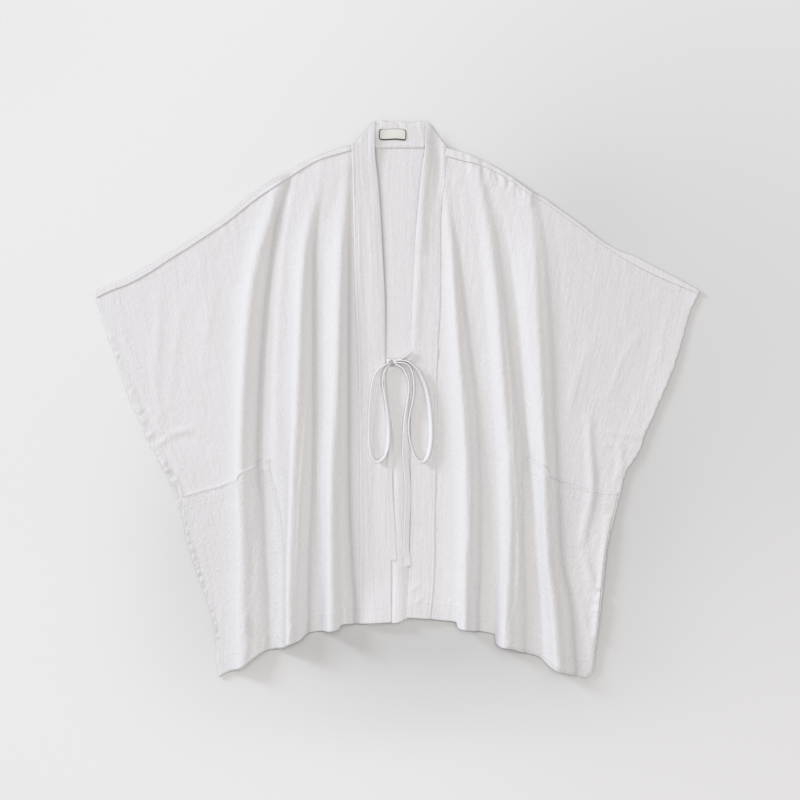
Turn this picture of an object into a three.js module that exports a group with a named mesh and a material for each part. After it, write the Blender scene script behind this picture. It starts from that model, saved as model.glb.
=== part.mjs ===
// A loose kimono cardigan of white crinkled cotton, laid flat with its front up and its ties in a bow.
// Millimetres. +Z is up from the table, +Y points to the collar, the wearer's right side is at -X.
// One plan grid carries every layer: the back lies on the table, and each layer above it repeats the
// points of the layer below, moved up, so the layers stay parallel and never touch.
import * as THREE from 'three';

// ---- Driving sizes ----------------------------------------------------------------------------
const CLOTH = 1.2;           // wall of one layer of crinkled cotton
const BAND_CLOTH = 2.4;      // wall of the neckband, which is folded double
const LAYER_GAP = 0.4;       // air between layers that lie on each other
const SEAM_GAP = 0.3;        // between pieces that are sewn edge to edge
const SHOULDER_WRAP = 12;    // how far the back rolls over the shoulder to the seam on the front
const SHOULDER_SEAM_GAP = 0.4;   // seam gap down the page, because the shoulder line slopes
const NOSE = 1.8;            // depth of the rolled shoulder edge
const STEEPEST = 2.4;        // most that a wall is thickened upwards where a fold is steep
const NECKLINE_Y = 416;      // seam of the back to the standing neckband
const TIE_WIDTH = 10;        // flat ties, folded and stitched
const TIE_THICKNESS = 1.6;

// Rows of the plan grid, counted in levels: 0 is the shoulder seam and 5 the hem.
const ROWS = [0, 0.33, 0.66, 1, 1.5, 2, 2.5, 3, 3.5, 4, 4.5, 5];

// ---- Levels: how each crossing line runs over the whole width, as [x, y] -----------------------
const LEVELS = [
  { level: 'shoulder edge', run: [
    [-502, 184], [-463, 199], [-413, 224], [-363, 253], [-330, 274], [-296, 297], [-255, 333],
    [-213, 361], [-180, 381], [-146, 399], [-113, 413], [-75, 424], [-35, NECKLINE_Y],
    [46, NECKLINE_Y], [82, 420], [104, 414], [129, 404], [154, 393], [187, 373], [220, 350],
    [270, 319], [304, 294], [337, 268], [370, 250], [437, 218], [502, 184]] },
  { level: 'chest', run: [
    [-468, 66], [-255, 174], [-73, 249], [76, 249], [217, 186], [464, 66]] },
  { level: 'underarm', run: [
    [-418, -63], [-266, 33], [-70, 83], [68, 83], [229, 41], [412, -54]] },
  { level: 'pocket mouth', run: [
    [-370, -159], [-325, -146], [-265, -129], [-258, -116], [-216, -98], [-65, -93],
    [65, -93], [207, -93], [240, -109], [249, -116], [265, -134], [320, -151], [367, -158]] },
  { level: 'hip', run: [
    [-328, -309], [-258, -278], [-185, -254], [-63, -234], [63, -234], [175, -248],
    [247, -264], [340, -309]] },
  { level: 'hem', run: [
    [-298, -464], [-280, -453], [-261, -447], [-246, -436], [-220, -419], [-190, -414],
    [-163, -401], [-153, -392], [-141, -388], [-106, -384], [-91, -374], [-10, -371],
    [15, -363], [55, -366], [95, -369], [104, -381], [145, -386], [162, -389], [169, -409],
    [204, -416], [220, -421], [249, -436], [274, -451], [295, -458], [319, -464]] },
];

// ---- Lines: the folds, edges and seams that run down the garment --------------------------------
// x and height z of the line at each of the six levels, and the cells from it to the next line.
const FLAT = [0, 0, 0, 0, 0, 0];
const LINES = [
  { line: 'right side', x: [-502, -468, -418, -370, -328, -298], z: FLAT, cells: 1 },
  { line: 'right turned edge', x: [-461, -431, -393, -355, -315, -283], z: FLAT, cells: 2 },
  { line: 'right sleeve foot', x: [-276, -303, -310, -303, -293, -276], z: FLAT, cells: 2 },
  { line: 'fold a', x: [-223, -255, -266, -265, -258, -260], z: [1.5, 7, 11, 12, 13, 15], cells: 2 },
  { line: 'valley a', x: [-195, -228, -236, -231, -236, -226], z: FLAT, cells: 1 },
  { line: 'right pocket edge', x: [-181, -201, -210, -216, -195, -188], z: [1, 4, 7, 4, 20, 24], cells: 2 },
  { line: 'fold b', x: [-158, -166, -180, -183, -185, -180], z: [3, 10, 15, 18, 22, 26], cells: 3 },
  { line: 'valley b', x: [-126, -143, -148, -148, -145, -150], z: FLAT, cells: 3 },
  { line: 'fold c', x: [-95, -105, -111, -118, -121, -118], z: [4, 13, 19, 22, 25, 28], cells: 3 },
  { line: 'valley c', x: [-83, -82, -80, -78, -75, -73], z: FLAT, cells: 1 },
  { line: 'right band seam', x: [-75, -73, -70, -65, -63, -63], z: FLAT, cells: 2 },
  { line: 'right band edge', x: [-35, -25, -20, -12, -10, -10], z: FLAT, cells: 1 },
  { line: 'left band edge', x: [46, 38, 23, 21, 20, 15], z: FLAT, cells: 2 },
  { line: 'left band seam', x: [82, 76, 68, 65, 63, 55], z: FLAT, cells: 2 },
  { line: 'fold d', x: [92, 92, 95, 102, 104, 102], z: [2, 7, 12, 13, 14, 16], cells: 2 },
  { line: 'valley d', x: [104, 113, 124, 135, 140, 144], z: FLAT, cells: 3 },
  { line: 'fold e', x: [130, 154, 169, 175, 175, 170], z: [4, 13, 19, 22, 24, 26], cells: 2 },
  { line: 'left pocket edge', x: [148, 174, 194, 207, 197, 184], z: [1.6, 3, 3, 2.3, 9.7, 20], cells: 1 },
  { line: 'valley e', x: [160, 182, 202, 215, 214, 217], z: FLAT, cells: 3 },
  { line: 'fold f', x: [209, 217, 229, 240, 247, 260], z: [3, 11, 17, 20, 21, 22], cells: 2 },
  { line: 'valley f', x: [235, 250, 259, 265, 280, 294], z: FLAT, cells: 2 },
  { line: 'fold g', x: [347, 344, 334, 320, 308, 303], z: [0, 2, 4, 6, 6, 4], cells: 2 },
  { line: 'left turned edge', x: [462, 427, 387, 352, 325, 311], z: FLAT, cells: 1 },
  { line: 'left side', x: [502, 464, 412, 367, 340, 319], z: FLAT, cells: 0 },
];

// ---- Neckband: the sections above the shoulder, from the fold down to the seam line -------------
// underside is the height of the lower face, outer and inner are the two edges of the band.
const COLLAR_SECTIONS = {
  right: [
    { at: 'fold', underside: 2.8, outer: [-74.6, 425], inner: [-37, 464] },
    { at: 'shoulder', underside: 2.8, outer: [-74.6, 414], inner: [-37, 432] },
  ],
  left: [
    { at: 'fold', underside: 2.8, inner: [49, 462], outer: [81.6, 421] },
    { at: 'shoulder', underside: 2.8, inner: [48, 432], outer: [81.6, 411] },
  ],
};
const COLLAR_EASE = [1.0, 0.2];   // how far the band still rides up at the first two grid rows

// The back stretch stands on the neckline: lower seam edge and upper free edge of each section.
const BACK_BAND_SECTIONS = [
  { at: 'right fold', lower: [-73.5, 425.6], upper: [-37, 464] },
  { at: 'right neck point', lower: [-35, 416.3], upper: [-22, 463] },
  { at: 'nape', lower: [6, 416.3], upper: [6, 462] },
  { at: 'left neck point', lower: [46, 416.3], upper: [32, 463] },
  { at: 'left fold', lower: [80.5, 421.6], upper: [49, 462] },
];

// ---- Label --------------------------------------------------------------------------------------
const LABEL = { width: 46, height: 19, corner: 4, thickness: 1, at: [-8.5, 441], turn: -0.03 };

// ---- Ties: [x, y, z, lean], where lean turns the width from lying (0) to standing (90 degrees) --
const KNOT = { at: [-3.7, 62.6, 6.9], half: [12.5, 6.9, 5.2] };
const ROUTES = {
  tie_right_lead: [[-18.3, 64, 2.9, 0], [-15.9, 64, 3.3, 0]],
  tie_right_loop: [
    [-16.6, 62.2, 9.6, 90], [-28.1, 54.7, 9.6, 80], [-36.8, 41.7, 9.6, 70], [-42.6, 18.7, 9.4, 65],
    [-46.1, -15.8, 9.2, 62], [-48.3, -44.2, 9.2, 62], [-48.5, -73.2, 9.3, 66], [-45.4, -93, 9.6, 75],
    [-38.3, -102.5, 10.2, 80], [-30.2, -101.5, 10.8, 84], [-22.4, -93.5, 11.6, 88],
    [-17, -79, 12.0, 90], [-15.9, -58.8, 12.0, 90], [-17.3, -37.3, 12.0, 90], [-20.2, -9.2, 12.0, 90],
    [-22.6, 15.8, 12.0, 90], [-22.6, 35.8, 12.0, 90], [-18.8, 51, 12.0, 90],
    [-13.6, 57.6, 11.6, 90]],
  tie_right_tail: [
    [-11, 56.2, 5.4, 0], [-16.5, 46, 5.4, 0], [-18.8, 32.5, 5.3, 0], [-16.3, 12.5, 5.2, 0],
    [-13.8, -15.8, 5.2, 0], [-12.1, -42.5, 5.2, 0], [-12.1, -72.5, 5.2, 0], [-12.9, -100.9, 5.2, 0], [-14.1, -134.2, 5.2, 0],
    [-12.9, -184.2, 5.2, 0], [-9.6, -242.6, 5.2, 0], [-6.8, -265, 5.2, 0]],
  tie_left_lead: [[22.4, 76, 2.9, 0], [19, 76, 3.2, 0], [11.5, 71.6, 5.0, 0], [6.8, 68.7, 5.6, 0]],
  tie_left_loop: [
    [8.6, 59.7, 12.4, 90], [15.6, 56.6, 12.4, 90], [22.1, 50.8, 12.2, 90], [27.4, 35.5, 12.0, 90],
    [27.9, 19.2, 12.0, 90], [24.3, -0.8, 12.0, 90], [20.8, -20.2, 11.4, 90], [17.8, -38.8, 10.4, 90],
    [18.6, -58.8, 9.8, 90], [22.1, -77.5, 9.6, 86], [28.4, -93, 9.6, 82], [36, -101.6, 9.6, 76],
    [44.6, -102, 9.5, 70], [52.3, -90.5, 9.3, 60], [56.6, -65.8, 9.0, 52], [55.9, -37.5, 8.8, 48],
    [52.3, -15.8, 8.8, 48], [47.9, 7.5, 9.0, 52], [37.9, 30.8, 9.4, 62], [29.3, 47.5, 10.4, 74],
    [19.5, 60.5, 11.6, 84], [9.0, 65.2, 12.4, 90]],
  tie_left_tail: [
    [4, 55.8, 5.6, 0], [12.4, 47.5, 5.5, 0], [19.6, 30.8, 5.3, 0], [20.3, 15.8, 5.2, 0],
    [18.3, 0.8, 5.2, 0], [14.9, -22.5, 5.0, 0], [12.6, -44.2, 3.4, 0], [11.6, -72.5, 2.4, 0],
    [10.9, -102.5, 2.4, 0], [10.2, -134.2, 2.4, 0], [10.3, -184.2, 2.4, 0], [10.9, -234.2, 2.4, 0],
    [9.4, -276, 2.4, 0]],
};

// ---- Finishes -----------------------------------------------------------------------------------
const COTTON = { color: 0xe9e8ea, roughness: 0.95, metalness: 0 };
const TAPE = { color: 0xf0eff0, roughness: 0.9, metalness: 0 };
const LABEL_CLOTH = { color: 0xf4f2ec, roughness: 0.7, metalness: 0 };

// ---- Small helpers --------------------------------------------------------------------------------
const lerp = THREE.MathUtils.lerp;
const smooth = (t) => t * t * (3 - 2 * t);

// Height of a broken line at x.
function runAt(run, x) {
  const last = run.length - 1;
  let k = 0;
  while (k < last - 1 && x > run[k + 1][0]) k += 1;
  const [x0, y0] = run[k];
  const [x1, y1] = run[k + 1];
  return lerp(y0, y1, THREE.MathUtils.clamp((x - x0) / (x1 - x0), 0, 1));
}

// Smooth curve through evenly numbered values.
function through(values, at) {
  const last = values.length - 1;
  const k = Math.min(Math.floor(at), last - 1);
  const t = at - k;
  const before = values[Math.max(k - 1, 0)];
  const after = values[Math.min(k + 2, last)];
  const a = values[k];
  const b = values[k + 1];
  const slopeA = (b - before) / 2;
  const slopeB = (after - a) / 2;
  return a * (1 + 2 * t) * (1 - t) ** 2 + slopeA * t * (1 - t) ** 2
    + b * t * t * (3 - 2 * t) + slopeB * t * t * (t - 1);
}

// ---- The plan grid ----------------------------------------------------------------------------------
// Each column is a curve from the shoulder to the hem. Between two lines the columns divide the
// width evenly and the height follows a soft S, which rounds both the crest and the valley.
function planColumns() {
  const columns = [];
  const index = {};
  LINES.forEach((from, k) => {
    index[from.line] = columns.length;
    const to = LINES[k + 1] ?? from;
    const cells = Math.max(from.cells, 1);
    for (let c = 0; c < cells; c += 1) {
      const t = c / cells;
      const x = from.x.map((value, level) => lerp(value, to.x[level], t));
      const z = from.z.map((value, level) => lerp(value, to.z[level], smooth(t)));
      const y = x.map((value, level) => runAt(LEVELS[level].run, value) - (level ? 0 : SHOULDER_WRAP));
      columns.push({ x, y, z });
    }
  });
  return { columns, index };
}

const { columns, index } = planColumns();

// Underside of the back, as rows of points.
const table = ROWS.map((at) => columns.map((column) => new THREE.Vector3(
  through(column.x, at), through(column.y, at), Math.max(0, through(column.z, at)))));

// How much an upright thickness grows at each point, so that the wall stays true on a slope.
const steepness = table.map((row, i) => row.map((point, j) => {
  const across = new THREE.Vector3().subVectors(row[Math.min(j + 1, row.length - 1)], row[Math.max(j - 1, 0)]);
  const below = table[Math.min(i + 1, table.length - 1)][j];
  const above = table[Math.max(i - 1, 0)][j];
  const normal = new THREE.Vector3().subVectors(below, above).cross(across).normalize();
  return Math.min(1 / Math.abs(normal.z), STEEPEST);
}));

// The same rows, moved up by a true distance.
function raised(distance) {
  return table.map((row, i) => row.map((point, j) => {
    const moved = point.clone();
    moved.z += distance * steepness[i][j];
    return moved;
  }));
}

// A block of the grid, by first and last row and column.
function block(grid, [top, bottom], [left, right]) {
  return grid.slice(top, bottom + 1).map((row) => row.slice(left, right + 1).map((p) => p.clone()));
}

// ---- Solids -------------------------------------------------------------------------------------------
// A closed wall between two grids of points. Every piece splits its cells along the same diagonal.
function sheetSolid(upper, lower, hasCell = () => true) {
  const rows = upper.length;
  const width = upper[0].length;
  const positions = [];
  const numbers = new Map();
  const vertex = (grid, side, i, j) => {
    const key = `${side},${i},${j}`;
    if (!numbers.has(key)) {
      numbers.set(key, positions.length / 3);
      positions.push(...grid[i][j].toArray());
    }
    return numbers.get(key);
  };
  const up = (i, j) => vertex(upper, 'u', i, j);
  const low = (i, j) => vertex(lower, 'l', i, j);
  const cell = (i, j) => i >= 0 && j >= 0 && i < rows - 1 && j < width - 1 && hasCell(i, j);
  const faces = [];
  const wall = (a, b) => {
    faces.push(up(...b), up(...a), low(...a));
    faces.push(up(...b), low(...a), low(...b));
  };
  for (let i = 0; i < rows - 1; i += 1) {
    for (let j = 0; j < width - 1; j += 1) {
      if (!cell(i, j)) continue;
      faces.push(up(i, j), up(i + 1, j), up(i + 1, j + 1));
      faces.push(up(i, j), up(i + 1, j + 1), up(i, j + 1));
      faces.push(low(i, j), low(i + 1, j + 1), low(i + 1, j));
      faces.push(low(i, j), low(i, j + 1), low(i + 1, j + 1));
      if (!cell(i, j - 1)) wall([i, j], [i + 1, j]);
      if (!cell(i + 1, j)) wall([i + 1, j], [i + 1, j + 1]);
      if (!cell(i, j + 1)) wall([i + 1, j + 1], [i, j + 1]);
      if (!cell(i - 1, j)) wall([i, j + 1], [i, j]);
    }
  }
  return closedGeometry(positions, faces);
}

function closedGeometry(positions, faces) {
  const geometry = new THREE.BufferGeometry();
  geometry.setAttribute('position', new THREE.Float32BufferAttribute(positions, 3));
  geometry.setIndex(faces);
  geometry.computeVertexNormals();
  return geometry;
}

// A flat tie swept along its route, with square ends.
function ribbon(route) {
  const points = route.map(([x, y, z]) => new THREE.Vector3(x, y, z));
  const positions = [];
  points.forEach((point, k) => {
    const ahead = points[Math.min(k + 1, points.length - 1)];
    const behind = points[Math.max(k - 1, 0)];
    const along = new THREE.Vector3().subVectors(ahead, behind).normalize();
    const side = new THREE.Vector3().crossVectors(along, new THREE.Vector3(0, 0, 1)).normalize();
    const top = new THREE.Vector3().crossVectors(side, along);
    const lean = THREE.MathUtils.degToRad(route[k][3]);
    const wide = side.clone().multiplyScalar(Math.cos(lean)).addScaledVector(top, Math.sin(lean));
    const thick = top.clone().multiplyScalar(Math.cos(lean)).addScaledVector(side, -Math.sin(lean));
    for (const [w, t] of [[-1, -1], [1, -1], [1, 1], [-1, 1]]) {
      const corner = point.clone()
        .addScaledVector(wide, w * TIE_WIDTH / 2)
        .addScaledVector(thick, t * TIE_THICKNESS / 2);
      positions.push(...corner.toArray());
    }
  });
  const faces = [0, 1, 2, 0, 2, 3];
  for (let k = 0; k < points.length - 1; k += 1) {
    for (let s = 0; s < 4; s += 1) {
      const a = 4 * k + s;
      const b = 4 * k + (s + 1) % 4;
      faces.push(a, a + 4, b + 4, a, b + 4, b);
    }
  }
  const end = 4 * (points.length - 1);
  faces.push(end, end + 2, end + 1, end, end + 3, end + 2);
  return closedGeometry(positions, faces);
}

// ---- Panels ---------------------------------------------------------------------------------------------
const LAST_ROW = ROWS.length - 1;
const LAST_COLUMN = columns.length - 1;
const backTop = CLOTH;
const frontUnder = backTop + LAYER_GAP;
const frontTop = frontUnder + CLOTH;
const pocketUnder = frontTop + LAYER_GAP;
const pocketTop = pocketUnder + CLOTH;
const frontUnderGrid = raised(frontUnder);
const frontTopGrid = raised(frontTop);

// The back: one cloth from side to side that rolls over each shoulder to the seam on the front.
function backPanel() {
  const under = table;
  const over = raised(backTop);
  const edge = table[0].map((seam) => runAt(LEVELS[0].run, seam.x));
  const inNeck = (j) => j > index['right band seam'] && j < index['left band seam'];
  const atEdge = (grid, inset) => grid[0].map((p, j) =>
    new THREE.Vector3(p.x, edge[j] - (inNeck(j) ? 0 : inset), p.z));
  const between = (a, b) => a.map((p, j) => new THREE.Vector3(p.x, p.y, lerp(p.z, b[j].z, 0.5)));
  const outer = [
    frontTopGrid[0], atEdge(frontTopGrid, NOSE),
    between(atEdge(frontTopGrid, 0), atEdge(under, 0)),
    atEdge(under, NOSE), ...under];
  const inner = [
    frontUnderGrid[0], atEdge(frontUnderGrid, NOSE + CLOTH),
    between(atEdge(frontUnderGrid, NOSE), atEdge(over, NOSE)),
    atEdge(over, NOSE + CLOTH), ...over];
  const ROLL_ROWS = 3;
  const isNeckCell = (j) => inNeck(j) || inNeck(j + 1);
  return sheetSolid(inner, outer, (i, j) => i >= ROLL_ROWS || !isNeckCell(j));
}

// A front: the grid from the side to the band seam, one layer up, clear of the shoulder seam.
function frontPanel(side) {
  const span = side === 'right'
    ? [0, index['right band seam']]
    : [index['left band seam'], LAST_COLUMN];
  const layer = (grid) => {
    const cut = block(grid, [0, LAST_ROW], span);
    cut[0].forEach((p) => { p.y -= SHOULDER_SEAM_GAP; });
    return cut;
  };
  return sheetSolid(layer(frontTopGrid), layer(frontUnderGrid));
}

// A patch pocket: the front's own points below the pocket line, one layer up.
function pocket(side) {
  const rows = [ROWS.indexOf(3), LAST_ROW];
  const span = side === 'right'
    ? [index['right turned edge'], index['right pocket edge']]
    : [index['left pocket edge'], index['left turned edge']];
  return sheetSolid(block(raised(pocketTop), rows, span), block(raised(pocketUnder), rows, span));
}

// A front stretch of the neckband, from the fold at the neck down to the hem.
function frontBand(side) {
  const span = side === 'right'
    ? [index['right band seam'], index['right band edge']]
    : [index['left band edge'], index['left band seam']];
  const cells = span[1] - span[0];
  const seamShift = side === 'right' ? SEAM_GAP : -SEAM_GAP;
  const collar = COLLAR_SECTIONS[side].map(({ underside, outer, inner }) => {
    const [from, to] = side === 'right' ? [outer, inner] : [inner, outer];
    return Array.from({ length: cells + 1 }, (_, c) => new THREE.Vector3(
      lerp(from[0], to[0], c / cells), lerp(from[1], to[1], c / cells), underside));
  });
  const front = block(table, [0, LAST_ROW], span);
  front.forEach((row, i) => {
    row.forEach((p) => { p.z = frontUnder + (COLLAR_EASE[i] ?? 0); });
    row[side === 'right' ? 0 : cells].x += seamShift;
  });
  const under = [...collar, ...front];
  return sheetSolid(thickened(under, BAND_CLOTH), under);
}

// The stretch of the neckband behind the neck.
function backBand() {
  const ACROSS = 2;
  const under = Array.from({ length: ACROSS + 1 }, (_, k) => BACK_BAND_SECTIONS.map(({ lower, upper }) =>
    new THREE.Vector3(lerp(upper[0], lower[0], k / ACROSS), lerp(upper[1], lower[1], k / ACROSS), 0)));
  return sheetSolid(thickened(under, BAND_CLOTH), under);
}

function thickened(under, thickness) {
  return under.map((row) => row.map((p) => new THREE.Vector3(p.x, p.y, p.z + thickness)));
}

// The woven label, bare, sewn inside the back stretch of the band.
function labelGeometry() {
  const { width, height, corner, thickness } = LABEL;
  const [w, h] = [width / 2, height / 2];
  const outline = new THREE.Shape();
  outline.moveTo(-w + corner, -h);
  outline.lineTo(w - corner, -h);
  outline.absarc(w - corner, -h + corner, corner, -Math.PI / 2, 0, false);
  outline.lineTo(w, h - corner);
  outline.absarc(w - corner, h - corner, corner, 0, Math.PI / 2, false);
  outline.lineTo(-w + corner, h);
  outline.absarc(-w + corner, h - corner, corner, Math.PI / 2, Math.PI, false);
  outline.lineTo(-w, -h + corner);
  outline.absarc(-w + corner, -h + corner, corner, Math.PI, 1.5 * Math.PI, false);
  return new THREE.ExtrudeGeometry(outline, { depth: thickness, bevelEnabled: false, curveSegments: 5 });
}

function knotGeometry() {
  const geometry = new THREE.SphereGeometry(1, 14, 10);
  geometry.rotateX(Math.PI / 2);
  geometry.scale(...KNOT.half);
  return geometry;
}

// ---- The garment -----------------------------------------------------------------------------------------
const garment = new THREE.Group();

function add(name, geometry, finish) {
  const mesh = new THREE.Mesh(geometry, new THREE.MeshStandardMaterial(finish));
  mesh.name = name;
  garment.add(mesh);
  return mesh;
}

add('back_panel', backPanel(), COTTON);
add('neckband_back', backBand(), COTTON);
for (const side of ['right', 'left']) {
  add(`front_${side}`, frontPanel(side), COTTON);
  add(`pocket_${side}`, pocket(side), COTTON);
  add(`neckband_${side}`, frontBand(side), COTTON);
}

const label = add('neck_label', labelGeometry(), LABEL_CLOTH);
label.position.set(...LABEL.at, BAND_CLOTH + SEAM_GAP);
label.rotation.z = LABEL.turn;

const knot = add('bow_knot', knotGeometry(), TAPE);
knot.position.set(...KNOT.at);

for (const [name, route] of Object.entries(ROUTES)) add(name, ribbon(route), TAPE);

export default garment;
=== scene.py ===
"""A loose kimono cardigan of white crinkled cotton, laid flat with its front up and its ties in a bow."""
import math

import bmesh
import bpy
import numpy as np
from mathutils import Matrix, Vector


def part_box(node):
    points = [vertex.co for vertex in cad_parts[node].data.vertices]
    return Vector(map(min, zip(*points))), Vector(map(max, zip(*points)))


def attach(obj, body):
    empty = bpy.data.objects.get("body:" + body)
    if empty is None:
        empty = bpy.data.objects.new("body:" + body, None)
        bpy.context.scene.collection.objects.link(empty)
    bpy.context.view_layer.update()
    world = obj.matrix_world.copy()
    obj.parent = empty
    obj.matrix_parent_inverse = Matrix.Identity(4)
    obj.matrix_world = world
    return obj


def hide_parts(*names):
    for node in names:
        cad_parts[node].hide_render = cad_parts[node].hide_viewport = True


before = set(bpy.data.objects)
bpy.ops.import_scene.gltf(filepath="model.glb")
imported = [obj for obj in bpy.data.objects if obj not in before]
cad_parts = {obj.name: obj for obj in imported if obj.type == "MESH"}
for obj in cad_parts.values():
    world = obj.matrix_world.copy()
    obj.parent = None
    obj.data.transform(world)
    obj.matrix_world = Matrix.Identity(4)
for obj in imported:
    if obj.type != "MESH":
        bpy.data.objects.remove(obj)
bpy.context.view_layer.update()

MM = 0.001

# ---- View, in metres, and the lens's sensor in millimetres ----
VIEW_WIDTH = 1.3333
VIEW_CENTRE = (0.0037, -0.0008)
CAMERA_HEIGHT = 3.2
SENSOR = 36
FILL_COLOUR = (1.03, 0.985, 0.98)

# ---- Layers, in millimetres over the table ----
CLOTH = 0.9                     # one wall of crinkled cotton
BACK_TOP = 1.2
FRONT_TOP = 2.8
POCKET_TOP = 3.9
BAND_TOP = 4.0
BAND_CLOTH = 1.0
TIE_WIDTH = 10.0
TIE_THICKNESS = 2.0
TABLE_DROP = 0.4                # how far the tabletop lies below 0
STEEPEST = 2.4                  # most that a slope thickens a layer, as a factor
SHOULDER_ROLL = 1.2             # radius of the back's turn over the shoulder
SHOULDER_STRIP = [              # share of the way from the turn to the seam, and rise
    (0.15, 0.5), (0.35, 0.55), (0.6, 0.7), (0.8, 0.9), (0.9, 1.0), (0.96, 0.85), (1.0, -0.1)]
OPENING_STRIP = [               # x and rise of the back where it shows between the bands
    (-11.2, 0), (-9.2, 2.2), (-7, 3.2), (-3, 4.2), (2, 4.4), (8, 3.5), (13, 2.0), (17, 1.0), (22, 0)]
LABEL_CORNER = 4.0

# ---- Colours, and how much painted shade greys the cloth in its hollows, with a painted shadow line along its hem ----
WHITE = (0.75, 0.75, 0.75)
GREY = (0.70, 0.70, 0.70)
PAINTED_HOLLOW_SHADE = 0.16
PAINTED_HEM_SHADE = 4.4                 # times the painted shade of a hollow
PAINTED_HEM_LINE = 2.2                  # width of the painted shadow line, in millimetres

# ---- Outlines, [x, y] in millimetres ----
SHOULDER_RIGHT = [
    (-502, 183), (-463, 199), (-413, 224), (-363, 253), (-330, 274), (-296, 296), (-255, 333),
    (-213, 361), (-180, 381), (-146, 399), (-113, 413), (-80, 423)]
SHOULDER_LEFT = [
    (85, 419), (104, 414), (129, 404), (154, 393), (187, 373), (220, 349), (245, 336), (270, 318),
    (304, 294), (337, 268), (370, 249), (399, 238), (437, 218), (470, 201), (502, 184)]
NECKLINE = [(-80, 423), (-60, 423), (-35, 422), (6, 422), (46, 422), (70, 422), (85, 419)]
SEAM_RIGHT = [
    (-502, 169), (-480, 180), (-446, 193), (-413, 211), (-380, 233), (-346, 254), (-313, 276),
    (-280, 298), (-255, 318), (-230, 337), (-196, 359), (-163, 381), (-130, 399), (-76, 415)]
SEAM_LEFT = [
    (76, 408), (85, 404), (112, 396), (134, 391), (154, 383), (187, 364), (220, 341), (245, 328),
    (270, 310), (304, 286), (337, 261), (387, 229), (437, 203), (502, 176)]
CUFF_RIGHT = [
    (-502, 169), (-491, 133), (-480, 99), (-468, 66), (-459, 36), (-446, -1), (-430, -34), (-418, -63)]
SIDE_RIGHT = [
    (-418, -63), (-405, -88), (-388, -118), (-376, -143), (-366, -168), (-359, -193), (-351, -234),
    (-341, -268), (-330, -301), (-317, -334), (-305, -366), (-302, -401), (-302, -434), (-298, -463)]
CUFF_LEFT = [(502, 176), (487, 146), (474, 99), (464, 66), (452, 33), (437, -1), (423, -34), (413, -54)]
SIDE_LEFT = [
    (413, -54), (403, -84), (391, -103), (379, -123), (372, -151), (360, -201), (351, -234),
    (346, -268), (342, -308), (339, -341), (335, -374), (331, -408), (328, -432), (325, -452), (315, -464)]
HEM_RIGHT = [
    (-298, -463), (-280, -453), (-261, -447), (-246, -436), (-233, -426), (-220, -419), (-205, -416),
    (-190, -414), (-183, -408), (-163, -401), (-153, -392), (-141, -388), (-126, -386), (-106, -384),
    (-98, -381), (-91, -374), (-63, -374)]
HEM_LEFT = [
    (55, -366), (70, -368), (94, -370), (97, -371), (99, -377), (102, -381), (120, -384), (145, -388),
    (158, -391), (161, -393), (162, -404), (165, -409), (174, -412), (190, -415), (204, -420),
    (220, -424), (234, -429), (244, -436), (252, -444), (264, -450), (284, -456), (299, -461), (315, -464)]
BAND_HEM_RIGHT = [(-63, -374), (-36, -374), (-10, -371)]
BACK_HEM = [(-3, -369.2), (7, -366)]
BAND_HEM_LEFT = [(15, -363), (55, -366)]

# ---- Neckband edges: outer seam and inner fold, from the neck down to the hem, then behind the neck ----
BAND_RIGHT_OUTER = [
    (-78, 421), (-76, 390), (-75, 333), (-71, 166), (-66, 66), (-64, -84), (-63, -168), (-63, -374)]
BAND_RIGHT_INNER = [
    (-37, 463), (-38, 430), (-37, 405), (-33, 368), (-30, 333), (-26, 266), (-21, 166), (-20, 66),
    (-14, -60), (-11, -118), (-10, -200), (-10, -371)]
BAND_LEFT_OUTER = [
    (82, 420), (82, 404), (80, 384), (79, 364), (76, 347), (74, 325), (72, 291), (72, 166), (67, 66),
    (65, -84), (62, -291), (55, -366)]
BAND_LEFT_INNER = [
    (48, 462), (46, 440), (45, 416), (40, 383), (34, 324), (29, 266), (25, 183), (22, 116),
    (21, 66), (21, -168), (19, -268), (15, -363)]
NAPE_SEAM = [(-70, 424), (-52, 420), (-35, 418.4), (6, 418.2), (46, 418.6), (60, 421), (76, 421)]
NAPE_FOLD = [
    (-40, 459), (-36, 464), (-27, 464.6), (-15, 462.6), (-1, 464), (11, 462.4), (23, 461.5),
    (37, 463.2), (48, 463)]

# ---- Pockets: bottom, mouth, then the edges to the wearer's right and left; the mouth's ridge and turn ----
OUTER_EDGE = {"right": "left", "left": "right"}     # which edge of a side's sheet lies away from the middle
POCKETS = {
    "right": (
        [(-297, -461), (-280, -451), (-261, -445), (-246, -434), (-233, -424), (-220, -417), (-188, -411)],
        [(-357, -158), (-330, -150), (-313, -145), (-296, -141), (-282, -135), (-268, -131),
         (-263, -120), (-251, -115), (-233, -104), (-223, -98), (-213, -99)],
        [(-297, -461), (-300, -434), (-303, -401), (-307, -368), (-317, -334), (-329, -301),
         (-340, -268), (-350, -234), (-358, -193), (-357, -158)],
        [(-188, -411), (-186, -380), (-187, -300), (-191, -234), (-193, -203), (-198, -170),
         (-207, -135), (-211, -118), (-213, -99)]),
    "left": (
        [(178, -408), (204, -414), (220, -419), (237, -426), (249, -434), (260, -444), (274, -449),
         (313, -462)],
        [(216, -94), (237, -106), (249, -114), (252, -128), (260, -131), (271, -136), (296, -143),
         (320, -149), (337, -151), (367, -154)],
        [(178, -408), (182, -380), (190, -334), (195, -268), (200, -201), (204, -151), (211, -118),
         (216, -94)],
        [(313, -462), (322, -450), (325.5, -434), (329.5, -401), (333, -368), (336, -334), (339, -301),
         (343, -268), (348, -234), (356, -201), (367, -154)]),
}
MOUTH_RIDGE = {"right": (1.8, 2.4), "left": (1.5, 0.6)}

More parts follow.
